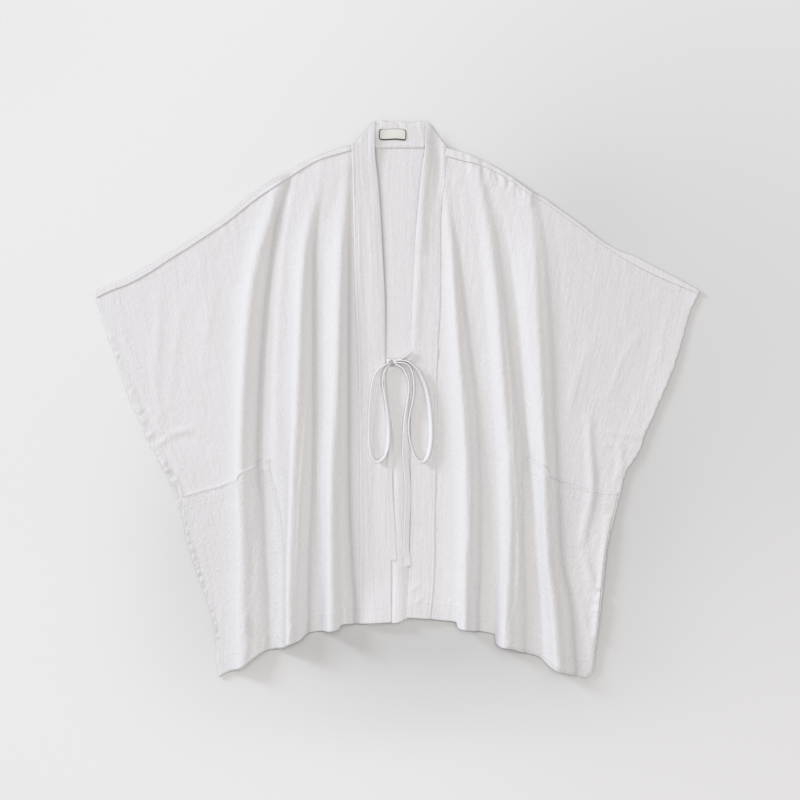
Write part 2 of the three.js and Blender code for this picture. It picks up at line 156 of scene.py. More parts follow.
# ---- Folds: lines down the garment, with x and height at each of these levels of y ----
FOLD_LEVELS = [416, 350, 300, 233, 149, 66, -18, -101, -184, -268, -343, -443]
FOLDS = [
    ("right edge", "straight",
     [-560, -560, -560, -560, -540, -480, -440, -400, -365, -345, -322, -303],
     [1, 1, 1, 1, 1, 1, 1, 1, 1, 1, 1, 1]),
    ("foot of fold a", "hollow",
     [-226, -240, -254, -268, -280, -284, -286, -287, -285, -284, -286, -288],
     [2, 3, 4, 5, 5, 5, 4, 3, 2, 1.6, 1.6, 1.6]),
    ("fold a", "stepped",
     [-186, -200, -212, -234, -248, -254, -259, -261, -260, -258, -258, -258],
     [5, 9, 12, 15, 17, 18, 18, 18, 17, 16, 16, 17]),
    ("valley a", "groove",
     [-168, -186, -201, -211, -221, -227, -231, -233, -226, -222, -218, -216],
     [2, 0.5, 0, 0, 0, 0, 0, 0, 0, 0.5, 1, 2]),
    ("rise to fold b", "straight",
     [-155, -172, -182, -190, -196, -200, -201, -201, -198, -198, -200, -201],
     [3, 4, 5, 5.6, 6, 6.2, 6.2, 4.8, 2.4, 1.2, 1.2, 2]),
    ("step of fold b", "hollow",
     [-148, -164, -175, -183, -185, -187, -189, -189, -190, -192, -193, -193],
     [3, 4, 4.4, 4.8, 5.1, 5.2, 5.2, 4.6, 3.8, 4.5, 6, 8]),
    ("fold b", "stepped",
     [-122, -133, -145, -156, -162, -165, -168, -173, -176, -179, -180, -180],
     [4, 5.5, 9, 14, 18, 20, 21, 21, 22, 23, 25, 27]),
    ("valley b", "straight",
     [-113, -125, -134, -139, -139, -139, -139, -140, -142, -146, -147, -148],
     [3.5, 4.5, 2.5, 0.5, 0, 0, 0, 0, 0, 0, 0, 0]),
    ("end of valley b", "hollow",
     [-111, -122, -130, -134, -134, -134, -134, -135, -135, -135, -131, -130],
     [3.5, 4.8, 3, 2.5, 2.5, 2.5, 2.5, 2.5, 2, 1, 1, 1]),
    ("fold c", "stepped",
     [-82, -84, -90, -95, -98, -101, -105, -109, -111, -111, -111, -111],
     [4, 6, 9, 13, 17, 20, 21, 22, 24, 25, 27, 28]),
    ("valley c", "straight",
     [-79, -79, -79, -80, -80, -80, -80, -80, -79, -75, -70, -68],
     [3, 2, 1, 0, 0, 0, 0, 0, 0, 0, 0, 0]),
    ("seam of the right band", "straight",
     [-74, -74, -74, -74, -74, -74, -74, -74, -72, -67, -62, -60],
     [3, 3, 2.5, 2.5, 2.5, 2.5, 2.5, 2.5, 2, 1.5, 1.5, 1.5]),
    ("middle of the right band", "straight",
     [-50, -50, -50, -50, -50, -50, -50, -50, -50, -50, -50, -50],
     [0.4, 0.3, 0.2] + [0] * 9),
    ("middle of the left band", "straight",
     [52, 52, 52, 52, 52, 52, 52, 52, 52, 52, 50, 46],
     [0.5, 0.4, 0.3] + [0] * 9),
    ("foot of fold d", "straight",
     [74, 74, 73, 73, 73, 73, 73, 73, 74, 74, 72, 68],
     [3, 2, 1, 0, 0, 0, 0, 0, 0, 0, 0, 0]),
    ("brow of fold d", "straight",
     [78, 78, 77, 79, 81, 84, 89, 93, 95, 94, 92, 91],
     [3, 3, 3, 2.4, 2, 1.8, 1.8, 1.8, 1.8, 2, 2.4, 3]),
    ("fold d", "stepped",
     [80, 81, 85, 90, 95, 100.5, 107, 112, 113.5, 112, 110.5, 110],
     [3, 3.5, 6, 10, 13, 15, 17.5, 19, 20.5, 22.5, 25, 26]),
    ("valley d", "straight",
     [88, 88, 92, 102, 112, 123, 133, 137, 139, 138, 135, 134],
     [3, 3, 2, 0.5, 0, 0, 0.5, 1.5, 2, 2, 2, 2]),
    ("end of valley d", "late",
     [90, 90, 95, 106, 117, 128, 139, 148, 153, 157, 162, 164],
     [3, 3, 2.5, 2, 2, 1.5, 1, 0.5, 0, 0, 0, 0]),
    ("brow of fold e", "rounded",
     [108, 119, 130, 139, 147, 153, 160, 165.5, 167.5, 168, 167, 165],
     [3, 3, 3, 3, 3, 2.8, 2.4, 2, 2, 2, 2, 2.4]),
    ("fold e", "stepped",
     [130, 139, 148, 158, 166, 171.5, 178, 184.5, 186, 183, 179, 176],
     [5, 5.5, 7.5, 10.5, 13, 15, 16.5, 17.5, 18.5, 20, 22.5, 24]),
    ("valley e", "straight",
     [136, 146, 159, 170, 180, 190, 200, 208, 208, 210, 212, 212],
     [3, 2.5, 2.5, 2.5, 3, 3, 3, 3, 2.5, 2.5, 3, 3]),
    ("end of valley e", "groove",
     [138, 151, 171, 185, 196, 203, 208, 215, 224, 229, 235, 238],
     [3, 2, 1] + [0] * 9),
    ("brow of fold f", "straight",
     [166, 190, 203, 210, 215, 222, 230, 237, 240, 244, 251, 256],
     [3, 4, 5, 7, 9, 10.5, 11, 12, 12.5, 12.5, 12, 12]),
    ("fold f", "stepped",
     [179, 216, 223, 227, 230, 234, 238, 241.5, 243.5, 247, 257, 264],
     [4, 5.5, 7.5, 10.5, 13, 15.5, 16, 17, 18, 19.5, 22, 24]),
    ("valley f", "straight",
     [190, 229, 238, 248, 254, 259, 262, 267, 270, 275, 290, 297],
     [1, 1, 2, 3, 3, 2, 1.2, 0.6, 0, 0, 0, 0]),
    ("end of valley f", "straight",
     [230, 242, 258, 267, 270, 271, 272, 276, 280, 285, 300, 307],
     [1, 1, 0.5, 0, 0, 0.5, 1, 1.5, 2, 2, 2, 2]),
    ("left edge", "straight",
     [560, 560, 560, 560, 520, 470, 430, 397, 366, 350, 342, 325],
     [1, 1, 1, 1, 2, 3, 3, 3, 3, 3, 3, 3]),
]

# ---- Creases: points of the line in millimetres, then width and height; a furrow has a height below 0 ----
CREASES = [
    ([(-92, 376), (-96, 358), (-102, 344), (-107, 330), (-111, 316), (-114, 296)], 4, -2.4),
    ([(-158, 384), (-162, 368), (-164, 350)], 3.5, -2.0),
    ([(-180, 366), (-184, 356), (-187, 344)], 2.5, -1.6),
    ([(-152, 386), (-120, 397), (-84, 404)], 6, -2.0),
    ([(84, 394), (100, 388), (122, 382)], 8, -2.4),
    ([(84, 380), (87, 366), (89, 352)], 4, -2.2),
    ([(97, 360), (102, 334), (105, 306)], 2.5, -1.5),
    ([(105, 304), (106, 275), (104, 240)], 3, -1.8),
    ([(113, 290), (116, 262), (119, 232)], 3, -1.4),
    ([(92, 410), (97, 404), (104, 398)], 3.5, 1.8),
    ([(104, 414), (112, 404), (117, 396)], 3, -1.6),
    ([(124, 404), (130, 396), (133, 388)], 3, -1.4),
    ([(137, 396), (141, 382), (141, 364)], 2.8, -2.2),
    ([(149, 388), (153, 370), (156, 352)], 3, 1.4),
    ([(160, 386), (166, 371), (170, 356)], 2.6, -2.4),
    ([(172, 380), (176, 368), (180, 352)], 3, 1.3),
    ([(178, 378), (183, 367), (187, 356)], 2.2, -1.7),
    ([(202, 358), (206, 348), (208, 338)], 2.4, -1.4),
    ([(222, 344), (226, 333), (229, 322)], 2.6, -1.6),
    ([(-396, 200), (-398, 115), (-402, 33), (-394, -42)], 8, 1.3),
    ([(-350, 190), (-370, 80), (-382, -20)], 9, 0.9),
    ([(-388, -62), (-366, -54), (-330, -44)], 6, 1.3),
    ([(-385, -74), (-360, -68), (-330, -58)], 6, -1.0),
    ([(-402, -76), (-394, -72), (-385, -66)], 4, 2.0),
    ([(-392, -84), (-382, -98), (-370, -118)], 4, -1.6),
    ([(-416, -52), (-402, -49), (-388, -44)], 1.6, 0.9),
    ([(-414, -58), (-401, -55), (-388, -51)], 1.6, 0.8),
    ([(-372, -130), (-364, -138), (-359, -150), (-357, -162)], 2.2, 1.3),
    ([(-366, -128), (-359, -137), (-354, -150)], 1.8, -1.2),
    ([(-372, -48), (-345, -56), (-318, -60)], 6, 0.8),
    ([(-300, 200), (-318, 120), (-322, 40)], 9, 0.8),
    ([(-226, -105), (-226, -151), (-231, -190), (-236, -234), (-243, -301), (-251, -350)], 3.4, -2.6),
    ([(-222, -284), (-216, -350), (-213, -401)], 4, -1.5),
    ([(-147, 40), (-152, -18), (-158, -101), (-163, -184), (-166, -268), (-168, -343)], 3.5, 2.4),
    ([(-96, 149), (-97, 60), (-99, -20), (-98, -101), (-97, -184)], 3, 1.0),
    ([(178, 140), (182, 99), (189, 16), (192, -68), (197, -151), (199, -234), (200, -301), (200, -351)],
     3.5, 1.8),
    ([(108, 60), (114, 16), (120, -68), (122, -151), (120, -234), (123, -301), (124, -351)], 3, 1.4),
    ([(318, -20), (320, -80), (323, -125), (322, -160), (313, -205), (306, -250)], 7, 4.4),
    ([(340, -115), (339, -151), (332, -192), (319, -240)], 5, -3.6),
    ([(322, -234), (326, -268), (333, -301), (321, -351)], 4, -1.6),
    ([(304, -250), (318, -285), (326, -315)], 6, 1.8),
    ([(304, -330), (310, -365), (321, -410), (318, -440)], 6, 2.2),
    ([(354, -190), (346, -234), (338, -301), (332, -354), (326, -410)], 5, 3.0),
    ([(366, -70), (372, -105), (362, -140)], 7, 2.2),
    ([(404, 116), (379, 66), (359, 20), (338, -9)], 8, 1.6),
    ([(394, 96), (372, 46), (356, 6)], 5, -1.2),
    ([(330, 110), (300, 40), (282, -40)], 9, 1.2),
    ([(345, -52), (375, -58), (404, -66)], 5, 2.4),
    ([(340, -76), (362, -74), (390, -88)], 5, 2.0),
    ([(320, -326), (328, -319), (342, -317)], 3, -4.2),
    ([(322, -330), (332, -334), (340, -336)], 2.5, 1.4),
    ([(322, -350), (331, -352), (338, -354)], 2.5, 1.2),
    ([(-248, -376), (-250, -405), (-253, -436)], 3, 1.2),
    ([(-214, -378), (-219, -400), (-222, -418)], 3, 1.4),
    ([(-196, -360), (-200, -388), (-203, -412)], 3, 1.2),
    ([(-176, -372), (-180, -392), (-186, -408)], 3, 1.2),
    ([(-146, -350), (-150, -370), (-155, -390)], 3, 1.2),
    ([(-132, -345), (-134, -365), (-137, -385)], 3, 1.0),
    ([(-90, -334), (-86, -355), (-84, -372)], 2.5, 0.9),
    ([(-78, -330), (-76, -350), (-75, -372)], 2.5, 0.9),
    ([(-199, -386), (-196, -392), (-191, -402)], 2.6, 2.4),
    ([(-378, -133), (-370, -141), (-364, -152)], 1.8, 1.1),
    ([(462, 194), (466, 190), (472, 186)], 3, 1.4),
    ([(322, -327), (333, -321), (343, -318)], 3.2, -2.4),
    ([(322, -322), (333, -316), (343, -313)], 3.2, 1.4),
]
HATCHED = (-357, -363.5, -370, -376.5, -383)
CREASES += [([(-259, y), (-252, y - 4), (-245, y - 8)], 1.9, 2.4) for y in HATCHED]
LEFT_BAND_CREASES = [
    ([(42, 505), (44, 455), (44, 410), (42, 370), (39, 330), (37, 290), (35, 240)], 13, 6.0),
    ([(42, 300), (39, 266), (35, 200), (30, 130), (25, 70)], 8, 2.2),
    ([(58, 452), (63, 430), (68, 390), (68, 330)], 8, -2.6),
    ([(47, 424), (58, 427), (70, 429)], 3, -1.2),
    ([(75, 425), (75, 400), (74, 382)], 2.4, 0.9),
    ([(70, 422), (70, 396), (69, 370)], 2.4, -0.8),
    ([(76, 361), (79, 352), (75, 342)], 2.4, 1.6),
    ([(18, -319), (28, -314), (37, -307)], 2.5, 1.3),
    ([(25, -341), (35, -334), (45, -326)], 2.5, 1.3),
    ([(64, 66), (67, 78), (72, 92)], 2.6, 1.2),
]
RIGHT_BAND_CREASES = [
    ([(-52, 380), (-47, 300), (-44, 210), (-42, 120), (-40, 30)], 9, 1.0),
    ([(-66, 330), (-64, 250), (-61, 150)], 4, 1.1),
    ([(-50, 455), (-58, 440), (-66, 420)], 5, 1.0),
    ([(-56, -20), (-53, -120), (-51, -220), (-50, -330)], 5, 0.7),
    ([(-40, -60), (-38, -160), (-36, -260)], 4, -0.6),
]
NAPE_CREASES = [
    ([(-37, 466), (-31, 459), (-27, 450)], 3.5, -2.2),
    ([(-26, 464), (-22, 458), (-21, 450)], 3, 1.0),
    ([(-8, 467), (0, 460), (5, 452)], 3, -1.4),
    ([(2, 466), (10, 459), (16, 450)], 3, 1.0),
    ([(34, 466), (38, 455), (40, 444)], 4, 0.8),
]

# ---- Puckers: ends of the seam, how many, their reach, tilt in degrees, width, height, and a seed ----
PUCKERS = [
    ((-482, 100), (-412, -62), 22, 22, 50, 2.8, 1.5, 3),
    ((-440, -30), (-372, -150), 14, 30, 25, 3.4, 1.8, 9),
    ((-394, -100), (-304, -400), 44, 19, 20, 2.4, 3.2, 4),
    ((350, -190), (328, -400), 32, 17, 160, 2.6, 2.3, 5),
    ((104, 400), (225, 330), 14, 34, -96, 4.0, 1.8, 6),
    ((-300, 276), (-150, 382), 9, 26, -80, 4.0, 0.8, 7),
    ((-462, -20), (-404, -20), 6, 20, 72, 3.0, 0.9, 8),
]

# ---- Loose thread ends at the corner of the right pocket ----
THREAD_PITCH = 2.0
THREAD_LENGTH = 2.6
THREAD_WIDTH = 0.8
THREAD_LIFT = 0.5
THREADS = [
    [(-373, -131), (-365, -139), (-360, -151), (-358, -162)], [(-377, -136), (-370, -146), (-368, -158)],
    [(-361, -166), (-362, -175), (-366, -183)], [(-357, -167), (-356, -179), (-351, -190)]]

# ---- Ties: [x, y, z, lean] in millimetres and degrees, lying at 0 and standing on edge at 90 ----
KNOT = (-10.9, 60.6, 8.0)
KNOT_FOLD = (-5.2, 60.6, 8.2)
KNOT_TURN = 16                  # degrees
TIE_RIGHT = [
    (-18.3, 64, 4.0, 0), (-14, 64, 4.6, 0), (-9, 64, 5.6, 20), (-4, 63.6, 6.4, 50), (-6, 61.4, 8.2, 80),
    (-11, 61, 9.2, 80), (-17, 58.6, 9.6, 76), (-22, 55.5, 9.6, 70), (-31, 48, 9.4, 50),
    (-37.6, 34, 9.2, 40), (-41.2, 13, 8.9, 36), (-43.6, -12, 8.7, 34), (-45, -42.5, 8.7, 36),
    (-44.8, -64, 8.8, 42), (-43.8, -84, 9.2, 54), (-40.0, -98, 9.6, 66), (-33.4, -102.2, 10, 70),
    (-26.2, -99.2, 10.4, 70), (-20.6, -91, 10.4, 72), (-17, -77, 10.2, 64), (-15.9, -61, 10.2, 64),
    (-16.2, -44, 10.4, 70), (-17.6, -26, 10.8, 80), (-20.4, -6, 11.2, 86), (-23, 11, 11.4, 88),
    (-25.4, 26, 11.4, 88), (-24.8, 38, 11.4, 88), (-22.4, 48, 11.4, 86), (-17, 56.4, 10.8, 84),
    (-9.4, 60.2, 9.4, 70), (-9, 58.6, 8.2, 60), (-14.6, 56, 8.4, 76), (-19, 51, 8.8, 84),
    (-21.6, 43, 9, 85), (-22.4, 33, 9, 85), (-21.6, 21, 8.9, 84), (-19.6, 5, 8.8, 83),
    (-16.6, -13, 8.6, 82), (-13.6, -31, 8.2, 80), (-11.6, -50, 7.8, 74), (-10.6, -68, 7.2, 62),
    (-11.2, -86, 6.4, 44), (-12.4, -104, 5.6, 22), (-13.9, -122, 5.8, 16), (-14, -140, 6.0, 14),
    (-13, -165, 6.2, 13), (-11.4, -190, 6.3, 13), (-9.9, -215, 6.5, 13), (-8.7, -240, 6.5, 12),
    (-7.4, -266.7, 6.4, 8)]
TIE_LEFT = [
    (25.4, 77.6, 7.6, 30), (18.8, 73.4, 9.0, 44), (10.4, 68.8, 9.6, 70), (3, 66.4, 9.8, 96),
    (-4, 64.4, 10, 86), (-6.6, 62.4, 10.4, 85), (0, 62, 11.4, 86), (8, 61.6, 12, 86),
    (16.6, 58.6, 12, 84), (22, 51.5, 12, 84), (25.4, 40, 11.8, 84), (27, 27.5, 11.6, 84),
    (27.2, 12, 11.2, 84), (24.8, -4, 10.8, 84), (21.2, -20, 10.4, 84), (18.6, -36, 10, 84),
    (18.4, -54, 9.7, 84), (20.4, -68, 9.6, 84), (24.2, -82, 9.6, 84), (28.8, -92.6, 9.6, 76),
    (34.6, -100.2, 9.6, 70), (42, -102.2, 9.6, 66), (48, -96, 9.5, 62), (52, -84, 9.5, 60),
    (54.2, -69, 9.5, 59), (54.7, -49, 9.5, 58), (53.5, -28, 9.5, 58), (51.5, -10, 9.6, 57),
    (48.4, 7, 9.7, 56), (44.8, 21, 9.9, 55), (40.2, 32, 10.2, 54), (35.2, 42.5, 10.6, 56),
    (30, 50, 11, 64), (23, 57.5, 11.6, 76), (13.8, 63.4, 12, 84), (3, 65, 11, 84), (-5.2, 62.4, 8.6, 60),
    (0.6, 58, 9.4, 78), (9, 51.6, 9.6, 84), (14.6, 41.4, 9.6, 84), (18.2, 30, 9.5, 82),
    (19.4, 19, 9.2, 80), (18.4, 4, 8.8, 72), (16.4, -12, 8.2, 60), (14.3, -30, 7.6, 48),
    (13.2, -48, 7.2, 41), (12.6, -66, 7.0, 37), (12.2, -84, 6.8, 33), (12.8, -102, 6.6, 29),
    (14.4, -119, 6.4, 27), (16.0, -134, 6.2, 26), (16.6, -152, 6.0, 26), (16, -185, 6.0, 26),
    (14.6, -218, 5.9, 26), (14, -245, 5.7, 22), (15, -262, 5.6, 15), (16.8, -277, 5.4, 10)]

# ---- Table: its colour, then each painted shadow's centre and spread in metres, and how much it takes away ----
TABLE_COLOUR = (0.826, 0.838, 0.824)
TABLE_PAINTED_SHADOWS = [
    ((0.422, 0.118), (0.521, 0.621), 0.146),
    ((0.0, 0.0), (3.0, 0.50), 0.050),
    ((-0.75, 0.70), (0.45, 0.35), 0.045),
    ((-0.31, -0.25), (0.13, 0.20), 0.123),
    ((0.037, -0.43), (0.30, 0.088), 0.156),
    ((0.33, -0.20), (0.15, 0.25), 0.115),
    ((0.30, 0.30), (0.13, 0.13), 0.060),
    ((-0.10, -0.405), (0.11, 0.040), 0.12),
    ((0.08, -0.405), (0.12, 0.036), 0.07),
    ((0.0, -0.53), (0.25, 0.06), 0.050),
]


# ---- Curves and fields ----
def smooth_line(points, count):
    """Evenly spaced points on a smooth curve through the given ones."""
    p = np.array(points, float)
    ends = np.vstack([2 * p[0] - p[1], p, 2 * p[-1] - p[-2]])
    t = np.linspace(0, 1, 13)[:-1, None]
    spans = []
    for a, b, c, d in zip(ends, ends[1:], ends[2:], ends[3:]):
        spans.append(0.5 * (2 * b + (c - a) * t + (2 * a - 5 * b + 4 * c - d) * t ** 2
                            + (3 * b - a - 3 * c + d) * t ** 3))
    line = np.vstack([*spans, p[-1:]])
    steps = np.linalg.norm(np.diff(line[:, :3], axis=0), axis=1)
    along = np.concatenate([[0], np.cumsum(steps)])
    at = np.linspace(0, along[-1], count) if np.isscalar(count) else np.asarray(count) * along[-1]
    return np.stack([np.interp(at, along, line[:, k]) for k in range(line.shape[1])], axis=1)


def joined(*lines):
    """Several runs of points as one, each sharing its first point with the end of the run before."""
    out = list(lines[0])
    for line in lines[1:]:
        out += list(line)[1:]
    return out


def glide(xs, ys, at):
    """A smooth curve through points that never swings past them."""
    h = np.diff(xs)
    slope = np.diff(ys) / h
    before, after = slope[:-1], slope[1:]
    same = before * after > 0
    w1, w2 = 2 * h[1:] + h[:-1], h[1:] + 2 * h[:-1]
    safe = np.where(same, w1 / np.where(same, before, 1) + w2 / np.where(same, after, 1), 1)
    m = np.concatenate([[slope[0]], np.where(same, (w1 + w2) / safe, 0), [slope[-1]]])
    k = np.clip(np.searchsorted(xs, at) - 1, 0, len(h) - 1)
    t = np.clip((at - xs[k]) / h[k], 0, 1)
    return (ys[k] * (1 + 2 * t) * (1 - t) ** 2 + m[k] * h[k] * t * (1 - t) ** 2
            + ys[k + 1] * t * t * (3 - 2 * t) + m[k + 1] * h[k] * t * t * (t - 1))


class Field:
    """Heights over the table on an even grid of points, in metres."""

    STEP = 0.002
    XS = np.arange(-0.53, 0.5301, STEP)
    YS = np.arange(-0.49, 0.4901, STEP)

    def __init__(self, heights=None):
        self.z = np.zeros((len(self.YS), len(self.XS))) if heights is None else heights

    def at(self, x, y):
        """Height at points, read between the four nearest grid points."""
        i = np.clip((y - self.YS[0]) / self.STEP, 0, len(self.YS) - 1.001)
        j = np.clip((x - self.XS[0]) / self.STEP, 0, len(self.XS) - 1.001)
        i0, j0 = i.astype(int), j.astype(int)
        a, b = i - i0, j - j0
        z = self.z
        return ((z[i0, j0] * (1 - b) + z[i0, j0 + 1] * b) * (1 - a)
                + (z[i0 + 1, j0] * (1 - b) + z[i0 + 1, j0 + 1] * b) * a)

    def soften(self, along_x, along_y):
        """Blurs the field, with the two spreads in metres."""
        ky = np.fft.fftfreq(self.z.shape[0], self.STEP)[:, None]
        kx = np.fft.rfftfreq(self.z.shape[1], self.STEP)[None, :]
        keep = np.exp(-2 * np.pi ** 2 * ((kx * along_x) ** 2 + (ky * along_y) ** 2))
        self.z = np.fft.irfft2(np.fft.rfft2(self.z) * keep, s=self.z.shape)
        return self

    def steepness(self):
        """How much an upright distance grows on the slope, so that layers stay parallel."""
        gy, gx = np.gradient(self.z, self.STEP)
        return np.minimum(np.sqrt(1 + gx ** 2 + gy ** 2), STEEPEST)

    def hollows(self, reach, depth):
        """How far each place lies below the ones round it, from 0 to 1."""
        below = Field(self.z).soften(reach, reach).z - self.z
        return Field(np.clip(below / depth, 0, 1) ** 1.3)

    def crease(self, points, width, height):
        """Adds a soft ridge or furrow along a line, fading out at both ends."""
        line = smooth_line(points, 24) * MM
        width, height = width * MM, height * MM
        low, high = line.min(0) - 3 * width, line.max(0) + 3 * width
        i0, i1 = np.searchsorted(self.YS, [low[1], high[1]])
        j0, j1 = np.searchsorted(self.XS, [low[0], high[0]])
        gx, gy = np.meshgrid(self.XS[j0:j1], self.YS[i0:i1])
        best = np.full(gx.shape, 1.0)
        share = np.zeros(gx.shape)
        for k, (a, b) in enumerate(zip(line, line[1:])):
            d = b - a
            t = np.clip(((gx - a[0]) * d[0] + (gy - a[1]) * d[1]) / (d @ d), 0, 1)
            away = np.hypot(gx - a[0] - t * d[0], gy - a[1] - t * d[1])
            near = away < best
            best = np.where(near, away, best)
            share = np.where(near, (k + t) / (len(line) - 1), share)
        fade = np.clip(np.sin(np.pi * share), 0, 1) ** 0.6
        self.z[i0:i1, j0:j1] += height * fade * np.exp(-(best / width) ** 2)


def crinkle(seed, along_x, along_y):
    """Even random crinkles of unit spread, longer along one way of the cloth."""
    field = Field(np.random.default_rng(seed).standard_normal((len(Field.YS), len(Field.XS))))
    field.soften(along_x, along_y)
    return field.z / field.z.std()


FLANKS = {
    "straight": [],
    "late": [(0.35, 0.10)],
    "rounded": [(0.82, 0.93)],
    "groove": [(0.16, 0.02), (0.34, 0.36), (0.58, 0.48)],
    "hollow": [(0.30, 0.10), (0.60, 0.42), (0.86, 0.90)],
    "stepped": [(0.12, 0.04), (0.40, 0.32), (0.62, 0.44), (0.84, 0.68)],
}


def fold_lines():
    """Every fold line and the turns on the flank after it, as x and height for each row of the field."""
    levels = np.array(FOLD_LEVELS[::-1], float) * MM
    xs = [glide(levels, np.array(x[::-1], float) * MM, Field.YS) for _, _, x, _ in FOLDS]
    zs = [glide(levels, np.array(z[::-1], float) * MM, Field.YS) for _, _, _, z in FOLDS]
    all_x, all_z = [], []
    for k, (_, kind, _, _) in enumerate(FOLDS):
        all_x.append(xs[k])
        all_z.append(zs[k])
        for across, part in FLANKS[kind]:
            all_x.append(xs[k] + (xs[k + 1] - xs[k]) * across)
            all_z.append(zs[k] + (zs[k + 1] - zs[k]) * part)
    return np.array(all_x), np.array(all_z)


def smooth_step(value, low, high):
    """Goes evenly from 0 at low to 1 at high, with a soft start and end."""
    t = np.clip((value - low) / (high - low), 0, 1)
    return t * t * (3 - 2 * t)


def fold_field():
    """The lie of the whole garment: its long folds, as they run from the shoulders to the hem."""
    xs, zs = fold_lines()
    field = Field(np.array([np.interp(Field.XS, xs[:, i], zs[:, i]) for i in range(len(Field.YS))]))
    waves = 0.35 * crinkle(11, 0.012, 0.05) + 0.2 * crinkle(12, 0.03, 0.03)
    field.z += waves * MM * np.clip(field.z / 0.006, 0.2, 1)
    x, y = np.meshgrid(Field.XS, Field.YS)
    lift = smooth_step(-y, 0.29, 0.375) * smooth_step(x, -0.078, -0.035) * smooth_step(-x, -0.13, -0.01)
    field.z += 9.5 * MM * lift
    return field.soften(0.0019, 0.005)


def detail_field(seed, strength):
    """Small crinkles that one layer has for itself, never below 0."""
    z = 0.5 * crinkle(seed, 0.004, 0.009) + 0.35 * crinkle(seed + 1, 0.0022, 0.0035)
    z += 0.45 * crinkle(seed + 2, 0.010, 0.016)
    return Field(np.clip(z * strength + 1.6 * strength, 0, None) * MM)


def creased(heights, creases):
    """A field from heights with a list of creases on it."""
    field = Field(heights)
    for points, width, height in creases:
        field.crease(points, width, height)
    return field


def puckers(field, start, end, count, reach, tilt, width, height, seed):
    """A row of short ridges that a line of stitching pulls in, set across it."""
    rng = np.random.default_rng(seed)
    a, b = np.array(start, float), np.array(end, float)
    for k in range(count):
        at = a + (b - a) * (k + 0.5 + rng.uniform(-0.3, 0.3)) / count
        turn = math.radians(tilt + rng.uniform(-16, 16))
        half = reach * rng.uniform(0.35, 0.6) * np.array([math.cos(turn), math.sin(turn)])
        own_width = width * rng.uniform(0.8, 1.3)
        field.crease([at - half, at, at + half], own_width, height * rng.uniform(0.5, 1.2))


# ---- Mesh making ----
def new_object(name, mesh, finish, slot, *nodes):
    """Puts a finished mesh in the scene, on the garment's one body."""
    piece = bpy.data.objects.new(name, mesh)
    bpy.context.scene.collection.objects.link(piece)
    piece.data.materials.append(finish)
    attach(piece, "root")
    if nodes:
        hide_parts(*nodes)
    return piece


def new_mesh(bm, name):
    """A smooth mesh from what was built."""
    for face in bm.faces:
        face.smooth = True
    mesh = bpy.data.meshes.new(name)
    bm.to_mesh(mesh)
    bm.free()
    return mesh


def plan_uv(bm):
    """Uses the plan place of each point, in metres, as the cloth's UV map."""
    layer = bm.loops.layers.uv.new("cloth")
    for face in bm.faces:
        for loop in face.loops:
            loop[layer].uv = loop.vert.co.xy


def shares(count, edges):
    """Even shares from 0 to 1 with closer ones at both ends."""
    edges = np.array(edges)
    middle = np.linspace(edges[-1], 1 - edges[-1], count)
    return np.unique(np.concatenate([[0], edges, middle, 1 - edges, [1]]).round(6))


def patch(bottom, top, left, right):
    """Plan points between four edge lines that share their corners, row by row from the bottom."""
    v = np.linspace(0, 1, len(left)) if left.shape[1] == 2 else left[:, 2]
    u = np.linspace(0, 1, len(bottom)) if bottom.shape[1] == 2 else bottom[:, 2]
    b, t, l, r = (line[:, :2] for line in (bottom, top, left, right))
    u, v = u[None, :, None], v[:, None, None]
    across = l[:, None] * (1 - u) + r[:, None] * u
    down = b[None] * (1 - v) + t[None] * v
    corners = ((1 - u) * (1 - v) * b[0] + u * (1 - v) * b[-1] + (1 - u) * v * t[0] + u * v * t[-1])
    return across + down - corners


def edge_line(points, at):
    """An edge as plan points at given shares of its length, with the share kept beside them."""
    return np.column_stack([smooth_line(points, at) * MM, at])


def with_height(plan, height):
    """Plan points with a height for each."""
    return np.concatenate([plan, height[..., None]], axis=2)


def along_cloth(points):
    """How far each point lies from the left and from the bottom edge of its sheet, along the cloth."""
    across = np.linalg.norm(np.diff(points, axis=1), axis=2)
    down = np.linalg.norm(np.diff(points, axis=0), axis=2)
    from_left = np.pad(np.cumsum(across, axis=1), ((0, 0), (1, 0)))
    from_bottom = np.pad(np.cumsum(down, axis=0), ((1, 0), (0, 0)))
    return from_left, from_bottom


def cloth_mesh(name, points, keep=None):
    """A sheet from rows of points, bottom row first, with the cloth's own measures as its UV map."""
    rows, columns = points.shape[:2]
    bm = bmesh.new()
    bmesh.ops.create_grid(bm, x_segments=columns - 1, y_segments=rows - 1, size=1)
    bm.verts.ensure_lookup_table()
    for vert, point in zip(bm.verts, points.reshape(-1, 3)):
        vert.co = point
    u, v = along_cloth(points)
    flat = np.stack([u - u[:, columns // 2][:, None], v], axis=2).reshape(-1, 2)
    layer = bm.loops.layers.uv.new("cloth")
    for face in bm.faces:
        for loop in face.loops:
            loop[layer].uv = flat[loop.vert.index]
    if keep is not None:
        bm.faces.ensure_lookup_table()
        gone = [face for face, kept in zip(bm.faces, keep.ravel()) if not kept]
        bmesh.ops.delete(bm, geom=gone, context="FACES")
    return new_mesh(bm, name)


def add_wall(piece, thickness, offset=-1.0):
    """Gives a sheet its thickness, under its shown face."""
    wall = piece.modifiers.new("wall", "SOLIDIFY")
    wall.thickness = thickness * MM
    wall.offset = offset
    wall.use_rim = True


def from_edge(points, side):
    """How far each point lies from one edge of its sheet: left, right, bottom or top."""
    from_left, from_bottom = along_cloth(points)
    if side in ("left", "right"):
        return from_left if side == "left" else from_left[:, -1:] - from_left
    return from_bottom if side == "bottom" else from_bottom[-1:] - from_bottom


